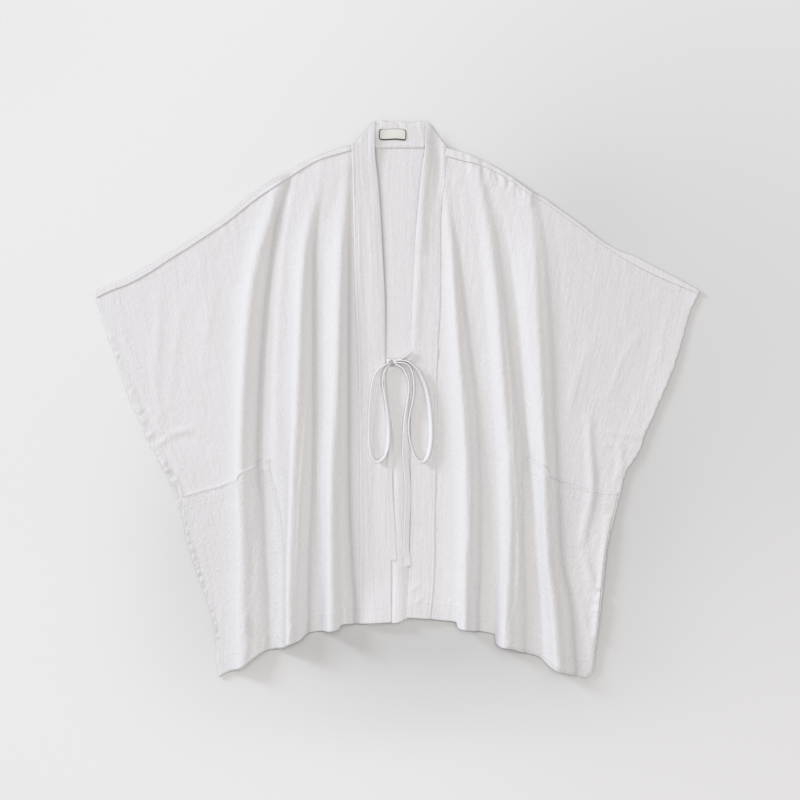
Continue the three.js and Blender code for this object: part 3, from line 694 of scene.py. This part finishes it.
def edge_drop(points, sides, width, drop):
    """How far a sheet turns down beside some of its edges."""
    total = np.zeros(points.shape[:2])
    for side in sides:
        total = np.maximum(total, np.clip(1 - from_edge(points, side) / (width * MM), 0, 1) ** 2)
    return total * drop * MM


def edge_ridge(points, side, at, width, height):
    """A low ridge along one edge, at a distance from it; a furrow has a height below 0."""
    return height * MM * np.exp(-((from_edge(points, side) - at * MM) / (width * MM)) ** 2)


def painted_hem_shadow(points):
    """A painted shadow line right along the hem, strongest over the middle of the garment."""
    x = points[..., 0]
    middle = smooth_step(x, -0.25, -0.20) * smooth_step(-x, -0.27, -0.22)
    edge = np.clip(1 - from_edge(points, "bottom") / (PAINTED_HEM_LINE * MM), 0, 1)
    return PAINTED_HEM_SHADE * (0.25 + 0.75 * middle) * edge


def mark(mesh, name, values):
    """Stores one number on every point of a sheet, for its finish."""
    layer = mesh.attributes.new(name, "FLOAT", "POINT")
    layer.data.foreach_set("value", np.ascontiguousarray(values, np.float32).ravel())


def add_cloth(name, points, finish, slot, node, marks, thickness=CLOTH, keep=None):
    """A laid sheet of cloth with its marks and its wall; its width, length and area when pressed flat are
    worked out.
    """
    mesh = cloth_mesh(name, points, keep)
    for key, values in marks.items():
        mark(mesh, key, values)
    piece = new_object(name, mesh, finish, slot, node)
    add_wall(piece, thickness)
    from_left, from_bottom = along_cloth(points)
    width, length = float(from_left[:, -1].max()), float(from_bottom[-1].max())
    a = points[1:, 1:] - points[:-1, :-1]
    b = points[1:, :-1] - points[:-1, 1:]
    area = np.linalg.norm(np.cross(a, b), axis=2) / 2
    area = min(float((area if keep is None else area[keep]).sum()), width * length)


# ---- Camera, light and table ----
def add_camera():
    """Looks straight down on the garment."""
    data = bpy.data.cameras.new("camera")
    data.sensor_width = SENSOR
    data.lens = SENSOR * CAMERA_HEIGHT / VIEW_WIDTH
    camera = bpy.data.objects.new("camera", data)
    camera.location = (*VIEW_CENTRE, CAMERA_HEIGHT)
    bpy.context.scene.collection.objects.link(camera)
    bpy.context.scene.camera = camera


def add_light(name, place, aim, size, power, colour):
    """A soft square lamp at a place, turned to a point."""
    data = bpy.data.lights.new(name, "AREA")
    data.shape = "SQUARE"
    data.size = size
    data.energy = power
    data.color = colour
    lamp = bpy.data.objects.new(name, data)
    lamp.location = place
    lamp.rotation_mode = "QUATERNION"
    lamp.rotation_quaternion = (Vector(aim) - Vector(place)).to_track_quat("-Z", "Y")
    bpy.context.scene.collection.objects.link(lamp)


def add_studio():
    """A large soft light from the upper left, an even fill and a pale table with painted shadows."""
    add_light("key", (-6.45, 3.80, 2.74), (0.05, -0.05, 0), 1.9, 321, (0.91, 0.98, 1.12))
    add_light("overhead", (0, 0, 3.5), (0, 0, 0), 2.2, 58, FILL_COLOUR)
    scene = bpy.context.scene
    scene.world = bpy.data.worlds.new("studio")
    scene.world.use_nodes = True
    sky = scene.world.node_tree.nodes["Background"].inputs
    sky["Color"].default_value = (*FILL_COLOUR, 1)
    sky["Strength"].default_value = 0.447
    scene.view_settings.view_transform = "Standard"
    bm = bmesh.new()
    under = Matrix.Translation((0, 0, -TABLE_DROP * MM))
    bmesh.ops.create_grid(bm, x_segments=1, y_segments=1, size=6, matrix=under)
    table = bpy.data.objects.new("table", new_mesh(bm, "table"))
    table.data.materials.append(table_with_painted_shade())
    scene.collection.objects.link(table)


# ---- Finishes ----
class Shade:
    """Adds shader nodes to a tree and joins them."""

    def __init__(self, tree):
        self.tree = tree

    def put(self, node, values):
        """Fills inputs by name or number: an output is linked to them, anything else is set on them."""
        for key, value in values.items():
            if isinstance(value, bpy.types.NodeSocket):
                self.tree.links.new(value, node.inputs[key])
            else:
                node.inputs[key].default_value = value

    def add(self, kind, values=None, out=0, **settings):
        """Adds a node and gives one of its outputs, or all of them where out is None."""
        node = self.tree.nodes.new("ShaderNode" + kind)
        for key, value in settings.items():
            setattr(node, key, value)
        self.put(node, values or {})
        return node.outputs if out is None else node.outputs[out]

    def sums(self, operation, *values):
        return self.add("Math", dict(enumerate(values)), operation=operation)

    def vector(self, operation, a, b, out="Vector"):
        return self.add("VectorMath", {0: a, 1: b}, out, operation=operation)

    def noise(self, place, scale, detail, rough=0.5):
        return self.add("TexNoise", {"Vector": place, "Scale": scale, "Detail": detail, "Roughness": rough})

    def streaks(self, place, scale, detail, rough=0.5):
        """Noise that runs finer along some axes than along others."""
        return self.noise(self.add("Mapping", {"Vector": place, "Scale": scale}), 1.0, detail, rough)

    def span(self, value, low, high, at_low, at_high, **settings):
        ends = {"From Min": low, "From Max": high, "To Min": at_low, "To Max": at_high}
        return self.add("MapRange", {"Value": value, **ends}, **settings)

    def shared(self, group, values, out=0):
        return self.add("Group", values, out, node_tree=bpy.data.node_groups[group])

    def edge(self, name):
        """A number stored on the cloth's points."""
        return self.add("Attribute", out="Fac", attribute_name=name)


def new_group(name, inputs):
    """A node group with its inputs, where a vector has no first value, and what goes into it."""
    tree = bpy.data.node_groups.new(name, "ShaderNodeTree")
    for socket, value in inputs.items():
        if value is None:
            tree.interface.new_socket(socket, in_out="INPUT", socket_type="NodeSocketVector")
        else:
            made = tree.interface.new_socket(socket, in_out="INPUT", socket_type="NodeSocketFloat")
            made.default_value = value
    return Shade(tree), tree.nodes.new("NodeGroupInput").outputs


def close_group(s, results):
    """Gives a node group its outputs."""
    for socket in results:
        s.tree.interface.new_socket(socket, in_out="OUTPUT", socket_type="NodeSocketFloat")
    s.put(s.tree.nodes.new("NodeGroupOutput"), results)


def new_finish(name, rough, specular=0.5, sheen=0.0):
    """A material, its nodes and its shader, with the shader's own constants set."""
    finish = bpy.data.materials.new(name)
    finish.use_nodes = True
    s = Shade(finish.node_tree)
    shader = finish.node_tree.nodes["Principled BSDF"]
    s.put(shader, {"Roughness": rough, "Specular IOR Level": specular, "Sheen Weight": sheen})
    return finish, s, shader


def weave_group():
    """Slubby plain weave with crêpe crinkles, on cloth measures in metres."""
    s, given = new_group("crinkled weave", {"Cloth": None, "Slub": 1.0, "Crinkle": 1.0})
    warp = s.streaks(given["Cloth"], (1000.0, 60.0, 1.0), 2.0, 0.6)
    weft = s.streaks(given["Cloth"], (50.0, 900.0, 1.0), 2.0, 0.6)
    crepe = s.streaks(given["Cloth"], (230.0, 150.0, 1.0), 3.0, 0.6)
    ribs = s.streaks(given["Cloth"], (150.0, 9.0, 1.0), 2.0, 0.55)
    threads = s.sums("ADD", warp, weft)
    lines = s.sums("ADD", s.sums("MULTIPLY", ribs, 1.05), s.sums("MULTIPLY", threads, 0.30))
    lines = s.sums("MULTIPLY", lines, given["Slub"])
    height = s.sums("ADD", lines, s.sums("MULTIPLY", crepe, given["Crinkle"]))
    tone = s.span(s.sums("ADD", threads, crepe), 1.1, 1.9, 0.0, 1.0)
    close_group(s, {"Height": height, "Tone": tone})


def seam_group():
    """A stitched line at a distance from an edge: a fine furrow with stitches and puckers beside it."""
    s, given = new_group("stitched line", {"Cloth": None, "Distance": 0.0, "Line": 0.024, "Puckers": 1.0})
    cloth = given["Cloth"]
    wander = s.sums("MULTIPLY", s.sums("SUBTRACT", s.noise(cloth, 25.0, 1.0), 0.5), 0.003)
    off = s.sums("ABSOLUTE", s.sums("SUBTRACT", s.sums("ADD", given["Distance"], wander), given["Line"]))
    line = s.span(off, 0.0003, 0.0016, 1.0, 0.0, interpolation_type="SMOOTHSTEP")
    stitched = s.sums("MULTIPLY", line, s.sums("MULTIPLY", s.noise(cloth, 420.0, 0.0), 0.7))
    near = s.span(off, 0.0, 0.012, 1.0, 0.0)
    puckered = s.sums("MULTIPLY", s.sums("MULTIPLY", near, s.noise(cloth, 130.0, 2.0)), given["Puckers"])
    close_group(s, {"Height": s.sums("SUBTRACT", puckered, stitched)})


def painted_shadow_group():
    """A soft round patch of painted shadow on the table: 1 at its centre, falling to 0 over its spread."""
    s, given = new_group("painted soft shadow", {"Place": None, "Centre": None, "Spread": None})
    away = s.vector("DIVIDE", s.vector("SUBTRACT", given["Place"], given["Centre"]), given["Spread"])
    away = s.vector("DOT_PRODUCT", away, away, "Value")
    close_group(s, {"Share": s.sums("EXPONENT", s.sums("MULTIPLY", away, -1.0))})


def cotton(name, light, dark, slub=1.0, wrinkle=1.0, depth=0.0008, seams=()):
    """Matt white cotton: soft tone changes, threads and crinkles, with stitched lines beside its edges,
    greyed by painted shade where its points carry a hollow number.
    """
    finish, s, shader = new_finish(name, 0.92, 0.25, 0.1)
    cloth = s.add("UVMap", uv_map="cloth")
    weave = s.shared("crinkled weave", {"Cloth": cloth, "Slub": slub, "Crinkle": wrinkle}, None)
    ends = {"A": (*dark, 1), "B": (*light, 1), "Factor": weave["Tone"]}
    tone = s.add("Mix", ends, "Result", data_type="RGBA")
    # Painted shade: the colour is made greyer by the hollow number stored on the points.
    kept = s.sums("MULTIPLY_ADD", s.edge("hollow"), -PAINTED_HOLLOW_SHADE, 1.0)
    height = weave["Height"]
    for edge, place, pull in seams:
        seam = {"Cloth": cloth, "Distance": s.edge(edge), "Line": place, "Puckers": pull}
        height = s.sums("ADD", height, s.shared("stitched line", seam))
    bump = s.add("Bump", {"Strength": 1.0, "Distance": depth, "Height": height})
    s.put(shader, {"Base Color": s.vector("MULTIPLY", tone, kept), "Normal": bump})
    return finish


def table_with_painted_shade():
    """Pale tabletop with wide soft painted shadows: painted shade for the light's fall-off on the right, and
    painted shadows close round the garment.
    """
    finish, s, shader = new_finish("table_with_painted_shade", 0.85, 0.1)
    place = s.add("TexCoord", out="Object")
    shade = 1.0
    # Each patch is painted shade or painted shadow, darkening the table's colour.
    for centre, spread, strength in TABLE_PAINTED_SHADOWS:
        soft = s.shared("painted soft shadow", {"Place": place, "Centre": (*centre, 0), "Spread": (*spread, 1)})
        shade = s.sums("MULTIPLY", s.sums("MULTIPLY_ADD", soft, -strength, 1.0), shade)
    s.put(shader, {"Base Color": s.vector("MULTIPLY", TABLE_COLOUR, shade)})
    return finish


def label_satin():
    """Woven satin label, off white with a dark woven edge line."""
    finish, s, shader = new_finish("label_satin", 0.6)
    cloth = s.add("UVMap", uv_map="cloth")
    threads = s.streaks(cloth, (300.0, 2600.0, 1.0), 2.0)
    ends = {"A": (0.72, 0.705, 0.66, 1), "B": (0.035, 0.035, 0.04, 1), "Factor": s.edge("edging")}
    tone = s.add("Mix", ends, "Result", data_type="RGBA")
    bump = s.add("Bump", {"Strength": 0.6, "Distance": 0.0002, "Height": threads})
    s.put(shader, {"Base Color": tone, "Normal": bump})
    return finish


# ---- Ties and their knot ----
def ribbon_points(route, count, across):
    """Rows of points of a flat tie along its route, and its middle line."""
    line = smooth_line(route, count)
    middle, lean = line[:, :3] * MM, np.radians(line[:, 3:])
    along = np.gradient(middle, axis=0)
    along /= np.linalg.norm(along, axis=1)[:, None]
    side = np.cross(along, (0, 0, 1.0))
    side /= np.linalg.norm(side, axis=1)[:, None]
    top = np.cross(side, along)
    wide = side * np.cos(lean) + top * np.sin(lean)
    thick = top * np.cos(lean) - side * np.sin(lean)
    share = np.linspace(-0.5, 0.5, across)
    gather = np.exp(-(np.hypot(line[:, 0] - KNOT[0], line[:, 1] - KNOT[1]) / 8) ** 2)
    w = TIE_WIDTH * MM * share[None] * (1 - 0.5 * gather[:, None])
    middle[:, 2] -= (middle[:, 2] - KNOT[2] * MM) * 0.8 * gather
    cup = (share ** 2 - 0.25) * 0.8 * MM
    points = middle[:, None] + wide[:, None] * w[..., None] + thick[:, None] * cup[None, :, None]
    return points, middle


def add_tie(side, route, finish):
    """One tie, from its seam on the band through the bow to its stitched end."""
    points, middle = ribbon_points(route, 420, 7)
    name = f"tie_{side}"
    nodes = [f"{name}_{part}" for part in ("lead", "loop", "tail")]
    piece = new_object(name, cloth_mesh(name, points), finish, "tie", *nodes)
    add_wall(piece, TIE_THICKNESS, 0.0)
    rounding = piece.modifiers.new("soft edges", "BEVEL")
    rounding.width = 0.5 * MM
    rounding.segments = 2
    rounding.limit_method = "ANGLE"
    rounding.angle_limit = math.radians(50)


def add_knot(name, centre, width, pleats, finish, *nodes):
    """A tight pleated wrap over the crossing strands of the bow."""
    across = np.linspace(-0.5, 0.5, 29)
    turn = math.radians(KNOT_TURN)
    rows = []
    for a in np.linspace(0, 2 * math.pi, 49):
        swell = 1 - 0.4 * (2 * across) ** 2 + 0.15 * np.cos(across * pleats + 0.9 * math.sin(a))
        x = across * width + 1.0 * math.sin(a)
        y = 5.4 * math.cos(a) * swell
        z = centre[2] + 5.0 * math.sin(a) * swell
        x, y = x * math.cos(turn) - y * math.sin(turn), x * math.sin(turn) + y * math.cos(turn)
        rows.append(np.stack([centre[0] + x, centre[1] + y, z], axis=1) * MM)
    piece = new_object(name, cloth_mesh(name, np.array(rows)[::-1]), finish, "tie", *nodes)
    add_wall(piece, 1.2)


# ---- Panels ----
def scalloped(line, size, seed):
    """An edge line pulled in and out a little by its seam, but not at its ends."""
    rng = np.random.default_rng(seed)
    share = line[:, 2]
    wave = sum(np.sin(share * turns + rng.uniform(0, 6.3)) for turns in (150, 236, 331)) / 2
    line[:, 0] += wave * size * MM * np.clip(np.minimum(share, 1 - share) * 30, 0, 1)
    return line


def front_plan(side):
    """Plan points of a front between its side, hem, band seam and shoulder seam."""
    v = shares(230, [0.001, 0.0025, 0.005])
    u = shares(190, [0.0025, 0.006, 0.010])
    if side == "right":
        outer = scalloped(edge_line(joined(SIDE_RIGHT[::-1], CUFF_RIGHT[::-1]), v), 0.9, 81)
        inner = edge_line(BAND_RIGHT_OUTER[::-1][:-1] + SEAM_RIGHT[-1:], v)
        return patch(edge_line(HEM_RIGHT, u), edge_line(SEAM_RIGHT, u), outer, inner)
    inner = edge_line(BAND_LEFT_OUTER[::-1][:-2] + SEAM_LEFT[:1], v)
    outer = scalloped(edge_line(joined(SIDE_LEFT[::-1], CUFF_LEFT[::-1]), v), 0.7, 82)
    return patch(edge_line(HEM_LEFT, u), edge_line(SEAM_LEFT, u), inner, outer)


def add_front(side, field, hollow, finish):
    """A front, its outer edge and hem turned down a little."""
    plan = front_plan(side)
    points = with_height(plan, field.at(plan[..., 0], plan[..., 1]))
    outer = OUTER_EDGE[side]
    points[..., 2] -= edge_drop(points, (outer, "bottom"), 3.0, 1.1)
    # The hollow number is painted shade: greyer cloth in the hollows of the folds, with a painted shadow
    # line along the hem.
    add_cloth(f"cloth_front_{side}", points, finish, "cloth", f"front_{side}", {
        "from_hem": from_edge(points, "bottom"), "from_side": from_edge(points, outer),
        "hollow": hollow.at(plan[..., 0], plan[..., 1]) + painted_hem_shadow(points)})


def seam_at(x):
    """How far up the table the shoulder seams lie, at given x."""
    points = np.vstack([smooth_line(line, 160) for line in (SEAM_RIGHT, SEAM_LEFT)]) * MM
    order = np.argsort(points[:, 0])
    return np.interp(x, points[order, 0], points[order, 1])


def back_plan():
    """Plan points of the lying back, from its hem to the shoulder fold and the neckline."""
    v = shares(200, [0.001, 0.003, 0.006])
    u = np.unique(np.concatenate([
        [0, 0.001, 0.003, 0.006], np.linspace(0.012, 0.45, 62), np.linspace(0.45, 0.55, 56),
        np.linspace(0.55, 0.76, 60), np.linspace(0.765, 0.988, 32), [0.994, 0.997, 0.999, 1]]).round(6))
    hem = joined(HEM_RIGHT, BAND_HEM_RIGHT) + BACK_HEM + joined(BAND_HEM_LEFT, HEM_LEFT)
    hem = [(x * 0.997, y + (0 if -8 < x < 17 else 1.5)) for x, y in hem]
    top = joined(SHOULDER_RIGHT, NECKLINE, SHOULDER_LEFT)
    sides = []
    for side, cuff, corner in ((SIDE_RIGHT, CUFF_RIGHT, (-502, 181)), (SIDE_LEFT, CUFF_LEFT, (502, 182))):
        line = joined(side[::-1], cuff[::-1])[:-1] + [corner]
        sides.append(edge_line([(x * 0.998, y) for x, y in line], v))
    return patch(edge_line(hem, u), edge_line(top, u), *sides)


def shoulder_rows(edge, lower, upper):
    """Rows of points that carry the back over its shoulder edge and down to the seam on the front."""
    x, y = edge[:, 0], edge[:, 1]
    roll = SHOULDER_ROLL * MM
    seam_y = seam_at(x)
    base, over = lower.at(x, y), upper.at(x, seam_y) + 0.5 * MM
    rows = []
    for turn in np.radians([30, 60, 90, 120, 150, 180]):
        lift = (1 - math.cos(turn)) / 2
        rows.append(np.stack([x, y + (math.sin(turn) - 1) * roll, base * (1 - lift) + over * lift], axis=1))
    gathered = smooth_step(x, 0.080, 0.095) * smooth_step(-x, -0.27, -0.22)
    gathers = 0.7 * np.sin(x / 0.0026 + 2 * np.sin(x / 0.019)) * gathered
    for share, rise in SHOULDER_STRIP:
        at = y - roll + (seam_y - y + roll) * share
        z = upper.at(x, at) + (rise + gathers * (1 - share ** 6)) * MM
        rows.append(np.stack([x, at, z], axis=1))
    return np.array(rows)


def painted_back_shade(points, flat_rows):
    """Painted shade on the back: a greyer strip beside the right band's inner fold, and painted shadow lines
    along the shoulder seams.
    """
    x, y = points[..., 0], points[..., 1]
    inner = np.array(BAND_RIGHT_INNER[::-1], float) * MM
    off = x - np.interp(y, inner[:, 1], inner[:, 0])
    shade = 2.0 * np.exp(-((off - 0.6 * MM) / (2.0 * MM)) ** 2) * smooth_step(y, 0.06, 0.16)
    shade[flat_rows:] = 0
    shade[-1] = np.where(x[-1] < 0, 2.4, 1.2)
    shade[-2] = shade[-1] * 0.3
    return shade


def add_back(lower, upper, finish):
    """The back: one cloth from side to side that rolls over each shoulder to the seam on the front."""
    plan = back_plan()
    flat = with_height(plan, lower.at(plan[..., 0], plan[..., 1]))
    edge = plan[-1]
    over = shoulder_rows(edge, lower, upper)
    flat[-1, :, 1] -= SHOULDER_ROLL * MM
    points = np.concatenate([flat, over])
    keep = np.ones((points.shape[0] - 1, points.shape[1] - 1), bool)
    middle = (edge[:-1, 0] + edge[1:, 0]) / 2
    keep[len(flat) - 1:, (middle > -0.077) & (middle < 0.080)] = False
    used = np.zeros(points.shape[:2], bool)
    for i in (0, 1):
        for j in (0, 1):
            used[i:i + keep.shape[0], j:j + keep.shape[1]] |= keep
    # The back's hollow number is painted shade and painted shadow.
    shade = painted_back_shade(points, len(flat))[used]
    add_cloth("cloth_back", points, finish, "cloth", "back_panel", {"hollow": shade}, keep=keep)


def add_pocket(side, field, hollow, finish):
    """A patch pocket on a front, caught in the side seam and the hem."""
    v = shares(130, [0.0015, 0.003, 0.0045, 0.006, 0.009])
    u = shares(50, [0.006, 0.014])
    bottom, mouth, left, right = POCKETS[side]
    plan = patch(edge_line(bottom, u), edge_line(mouth, u), edge_line(left, v), edge_line(right, v))
    points = with_height(plan, field.at(plan[..., 0], plan[..., 1]))
    points[..., 2] -= edge_drop(points, (OUTER_EDGE[side], "bottom"), 2.0, 0.8)
    points[..., 2] -= edge_drop(points, (side,), 7.0, 1.5)
    ridge, drop = MOUTH_RIDGE[side]
    points[..., 2] += edge_ridge(points, "top", 2.8, 1.9, ridge) - edge_drop(points, ("top",), 2.6, drop)
    # The hollow number is painted shade in the hollows of the folds.
    add_cloth(f"patch_pocket_{side}", points, finish, "cloth", f"pocket_{side}", {
        "from_hem": from_edge(points, "bottom"), "from_mouth": from_edge(points, "top"),
        "from_inner": from_edge(points, side), "hollow": hollow.at(plan[..., 0], plan[..., 1])})


def neck_rise(y, t):
    """How the band stands up where it turns round the neck."""
    up = smooth_step(y, 0.36, 0.46)
    return (1.2 * up + 5.4 * up * t ** 1.5 + 1.6 * t * smooth_step(y, 0.05, 0.3)) * MM


def band_points(side, outer, inner, detail):
    """Rows of points of a front band, hem first, from the wearer's right to the left."""
    v = shares(300, [0.001, 0.0025, 0.005])
    t = np.array([
        0, 0.008, 0.025, 0.05, 0.085, 0.12, 0.16, *np.linspace(0.2, 0.8, 13),
        0.86, 0.91, 0.95, 0.975, 0.99, 1])
    outer, inner = (smooth_line(line[::-1], v) * MM for line in (outer, inner))
    plan = outer[:, None] * (1 - t[None, :, None]) + inner[:, None] * t[None, :, None]
    x, y, t = plan[..., 0], plan[..., 1], t[None]
    height = BAND_TOP * MM + (neck_rise(y, t) + detail.at(x, y))
    rolled = 1.0 if side == "right" else 0.4
    roll = np.clip(1 - t / 0.03, 0, 1) ** 2 * rolled + np.clip(1 - (1 - t) / 0.03, 0, 1) ** 2 * 0.7
    height -= roll * MM
    height -= np.clip(1 - (1 - t) / 0.20, 0, 1) ** 1.5 * 1.4 * MM * smooth_step(y, -0.10, 0.0)
    ridge = (np.exp(-((t - 0.07) / 0.03) ** 2) * 0.8 - np.exp(-((t - 0.14) / 0.02) ** 2) * 0.4) * MM
    if side == "left":
        height -= np.clip(1 - t / 0.12, 0, 1) * 0.8 * MM
        ridge = ridge * (1 - 0.7 * smooth_step(y, 0.25, 0.33))
    points = with_height(plan, height + ridge)
    return points if side == "right" else points[:, ::-1]


def add_band(side, outer, inner, detail, finish):
    """A front stretch of the folded neckband."""
    points = band_points(side, outer, inner, detail)
    # The band's hollow number is a painted shadow line along its hem.
    add_cloth(f"band_{side}", points, finish, "band", f"neckband_{side}", {
        "from_hem": from_edge(points, "bottom"), "from_seam": from_edge(points, OUTER_EDGE[side]),
        "hollow": painted_hem_shadow(points)}, BAND_CLOTH)


def add_nape(finish, detail):
    """The stretch of the band behind the neck, with its stitched lower seam."""
    u = np.linspace(0, 1, 70)
    v = np.array([0, 0.02, 0.05, 0.09, 0.13, 0.18, 0.24, 0.3, 0.4, 0.5, 0.6, 0.7, 0.8, 0.88, 0.94, 0.98, 1])
    lower, upper = (smooth_line(line, u) * MM for line in (NAPE_SEAM, NAPE_FOLD))
    plan = lower[None] * (1 - v[:, None, None]) + upper[None] * v[:, None, None]
    height = (3.3 + 1.0 * np.exp(-((v - 0.10) / 0.05) ** 2) - 0.9 * np.clip(1 - v / 0.03, 0, 1)
              - 1.4 * np.clip(1 - (1 - v) / 0.05, 0, 1) ** 2 + 1.0 * v)
    points = with_height(plan, height[:, None] * MM + detail.at(plan[..., 0], plan[..., 1]))
    add_cloth("band_nape", points, finish, "band", "neckband_back", {}, BAND_CLOTH)


def add_label(finish):
    """A small bare woven label with rounded corners and a dark edge line."""
    low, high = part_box("neck_label")
    width, height = high[0] - low[0] - 1.2 * MM, high[1] - low[1] - 1.6 * MM
    centre = Vector(((low[0] + high[0]) / 2, (low[1] + high[1]) / 2, high[2] + 1.2 * MM))
    radius = LABEL_CORNER * MM
    bm = bmesh.new()
    bmesh.ops.create_grid(bm, x_segments=46, y_segments=20, size=0.5)
    edging = bm.verts.layers.float.new("edging")
    for vert in bm.verts:
        x, y = vert.co.x * width, vert.co.y * height
        dx, dy = abs(x) - (width / 2 - radius), abs(y) - (height / 2 - radius)
        sides = ((width / 2 + x, 1.5), (width / 2 - x, 1.1), (height / 2 + y, 2.1), (height / 2 - y, 0.9))
        inside = min(away / wide for away, wide in sides)
        if dx > 0 and dy > 0:
            reach, most = math.hypot(dx, dy), max(dx, dy)
            x = math.copysign(width / 2 - radius + dx / reach * most, x)
            y = math.copysign(height / 2 - radius + dy / reach * most, y)
            inside = min(inside, (radius - most) / 1.2)
        vert[edging] = 1.0 if inside < MM else 0.0
        y += 0.7 * MM * math.sin(x * 150 + 0.6)
        vert.co = (x, y, (0.4 * math.sin(x * 140) + 0.3 * math.cos(y * 300)) * MM)
    plan_uv(bm)
    bmesh.ops.rotate(bm, verts=bm.verts, cent=(0, 0, 0), matrix=Matrix.Rotation(-0.03, 3, "Z"))
    bmesh.ops.translate(bm, verts=bm.verts, vec=centre)
    piece = new_object("woven_label", new_mesh(bm, "woven_label"), finish, "label", "neck_label")
    add_wall(piece, 0.7)


def add_threads(field, finish):
    """Loose thread ends at the corner of the right pocket, as small beads along each end."""
    half = THREAD_WIDTH / 2 * MM
    bm = bmesh.new()
    for run in THREADS:
        total = np.linalg.norm(np.diff(smooth_line(run, 60), axis=0), axis=1).sum()
        line = smooth_line(run, max(3, int(total / THREAD_PITCH) + 1)) * MM
        for a, b in zip(line, line[1:]):
            reach = (b - a) / np.linalg.norm(b - a) * THREAD_LENGTH / 2 * MM
            ends = [(a + b) / 2 - reach, (a + b) / 2 + reach]
            heights = [float(field.at(*np.array(end)[:, None])[0]) for end in ends]
            start, end = (Vector((*p, z + THREAD_LIFT * MM)) for p, z in zip(ends, heights))
            turn = (end - start).to_track_quat("X", "Z").to_matrix().to_4x4()
            size = Matrix.Diagonal(((end - start).length / 2, half, half, 1))
            place = Matrix.Translation((start + end) / 2) @ turn @ size
            bmesh.ops.create_icosphere(bm, subdivisions=1, radius=1, matrix=place)
    plan_uv(bm)
    new_object("pocket_tack", new_mesh(bm, "pocket_tack"), finish, "tie")


# ---- The garment ----
def surface_fields():
    """The lie of the garment, the shown face of each layer with its crinkles, and the painted shade of its
    hollows.
    """
    lie = fold_field()
    steep = lie.steepness()
    back = Field(lie.z + BACK_TOP * MM * steep)
    front = creased(lie.z + FRONT_TOP * MM * steep, CREASES)
    for row in PUCKERS:
        puckers(front, *row)
    front.z = np.maximum(front.z, back.z + (CLOTH + 0.2) * MM * steep)
    front.z += detail_field(21, 0.2).z
    pocket = Field(front.z + (POCKET_TOP - FRONT_TOP) * MM * steep)
    pocket.z += detail_field(41, 0.16).z
    x, y = np.meshgrid(Field.XS, Field.YS)
    across, rise = np.array(OPENING_STRIP).T
    back.z += np.interp(x, across * MM, rise) * MM * smooth_step(-y, 0.055, 0.11)
    back.z += detail_field(31, 0.14).z * 0.5
    # Painted shade: greyer cloth in the hollows of the folds, half as much on the left half, and also over
    # the left sleeve away from its cuff and over the lower right side.
    hollow = lie.hollows(0.006, 2.2 * MM)
    hollow.z *= 1 - 0.5 * smooth_step(x, -0.02, 0.05)
    hollow.z += 0.28 * smooth_step(x, 0.22, 0.30) * smooth_step(0.434 + 0.387 * y - x, 0.0, 0.07)
    hollow.z += 0.15 * smooth_step(-x, 0.27, 0.33) * smooth_step(-y, 0.05, 0.2)
    return lie, back, front, pocket, hollow


def add_bow():
    """Both ties and the knot of their bow, and the cotton that the threads share with them."""
    tape = cotton("tie_cotton", (0.80, 0.80, 0.80), (0.755, 0.755, 0.755), 0.8, 0.3, 0.0004)
    add_tie("right", TIE_RIGHT, tape)
    add_tie("left", TIE_LEFT, tape)
    # The knot's cotton is a darker copy of the tape: painted shade for the shadow in its pleats.
    painted_shade_tape = cotton("painted_shade_knot_cotton", (0.56, 0.53, 0.51), (0.42, 0.39, 0.38), 0.8, 0.3, 0.0004)
    add_knot("knot_wrap", KNOT, 8.6, 17, painted_shade_tape, "bow_knot")
    add_knot("knot_fold", KNOT_FOLD, 3.0, 3, tape)
    return tape


def build():
    """Makes the scene: camera, ties, cloth from the table up, then label and threads."""
    add_camera()
    weave_group()
    seam_group()
    painted_shadow_group()
    tape = add_bow()
    add_studio()
    plain = cotton("crinkled_cotton", WHITE, GREY)
    hemmed = cotton("hemmed_cotton", WHITE, GREY, seams=[
        ("from_hem", 0.026, 0.9), ("from_side", 0.030, 1.1)])
    pocketed = cotton("pocket_cotton", WHITE, GREY, 1.2, 1.8, seams=[
        ("from_hem", 0.024, 0.8), ("from_mouth", 0.024, 0.8), ("from_inner", 0.0045, 0.2)])
    folded = cotton("band_cotton", WHITE, GREY, 1.6, 0.7, seams=[
        ("from_hem", 0.024, 0.2), ("from_seam", 0.006, 0.2)])
    lie, back, front, pocket, hollow = surface_fields()
    add_back(back, front, plain)
    for side in ("right", "left"):
        add_front(side, front, hollow, hemmed)
        add_pocket(side, pocket, hollow, pocketed)
    right = creased(lie.z + detail_field(51, 0.16).z, RIGHT_BAND_CREASES)
    left = creased(lie.z + detail_field(61, 0.16).z, LEFT_BAND_CREASES)
    add_band("right", BAND_RIGHT_OUTER, BAND_RIGHT_INNER, right, folded)
    add_band("left", BAND_LEFT_OUTER, BAND_LEFT_INNER, left, folded)
    add_threads(front, tape)
    add_nape(folded, creased(detail_field(71, 0.12).z, NAPE_CREASES))
    add_label(label_satin())


build()
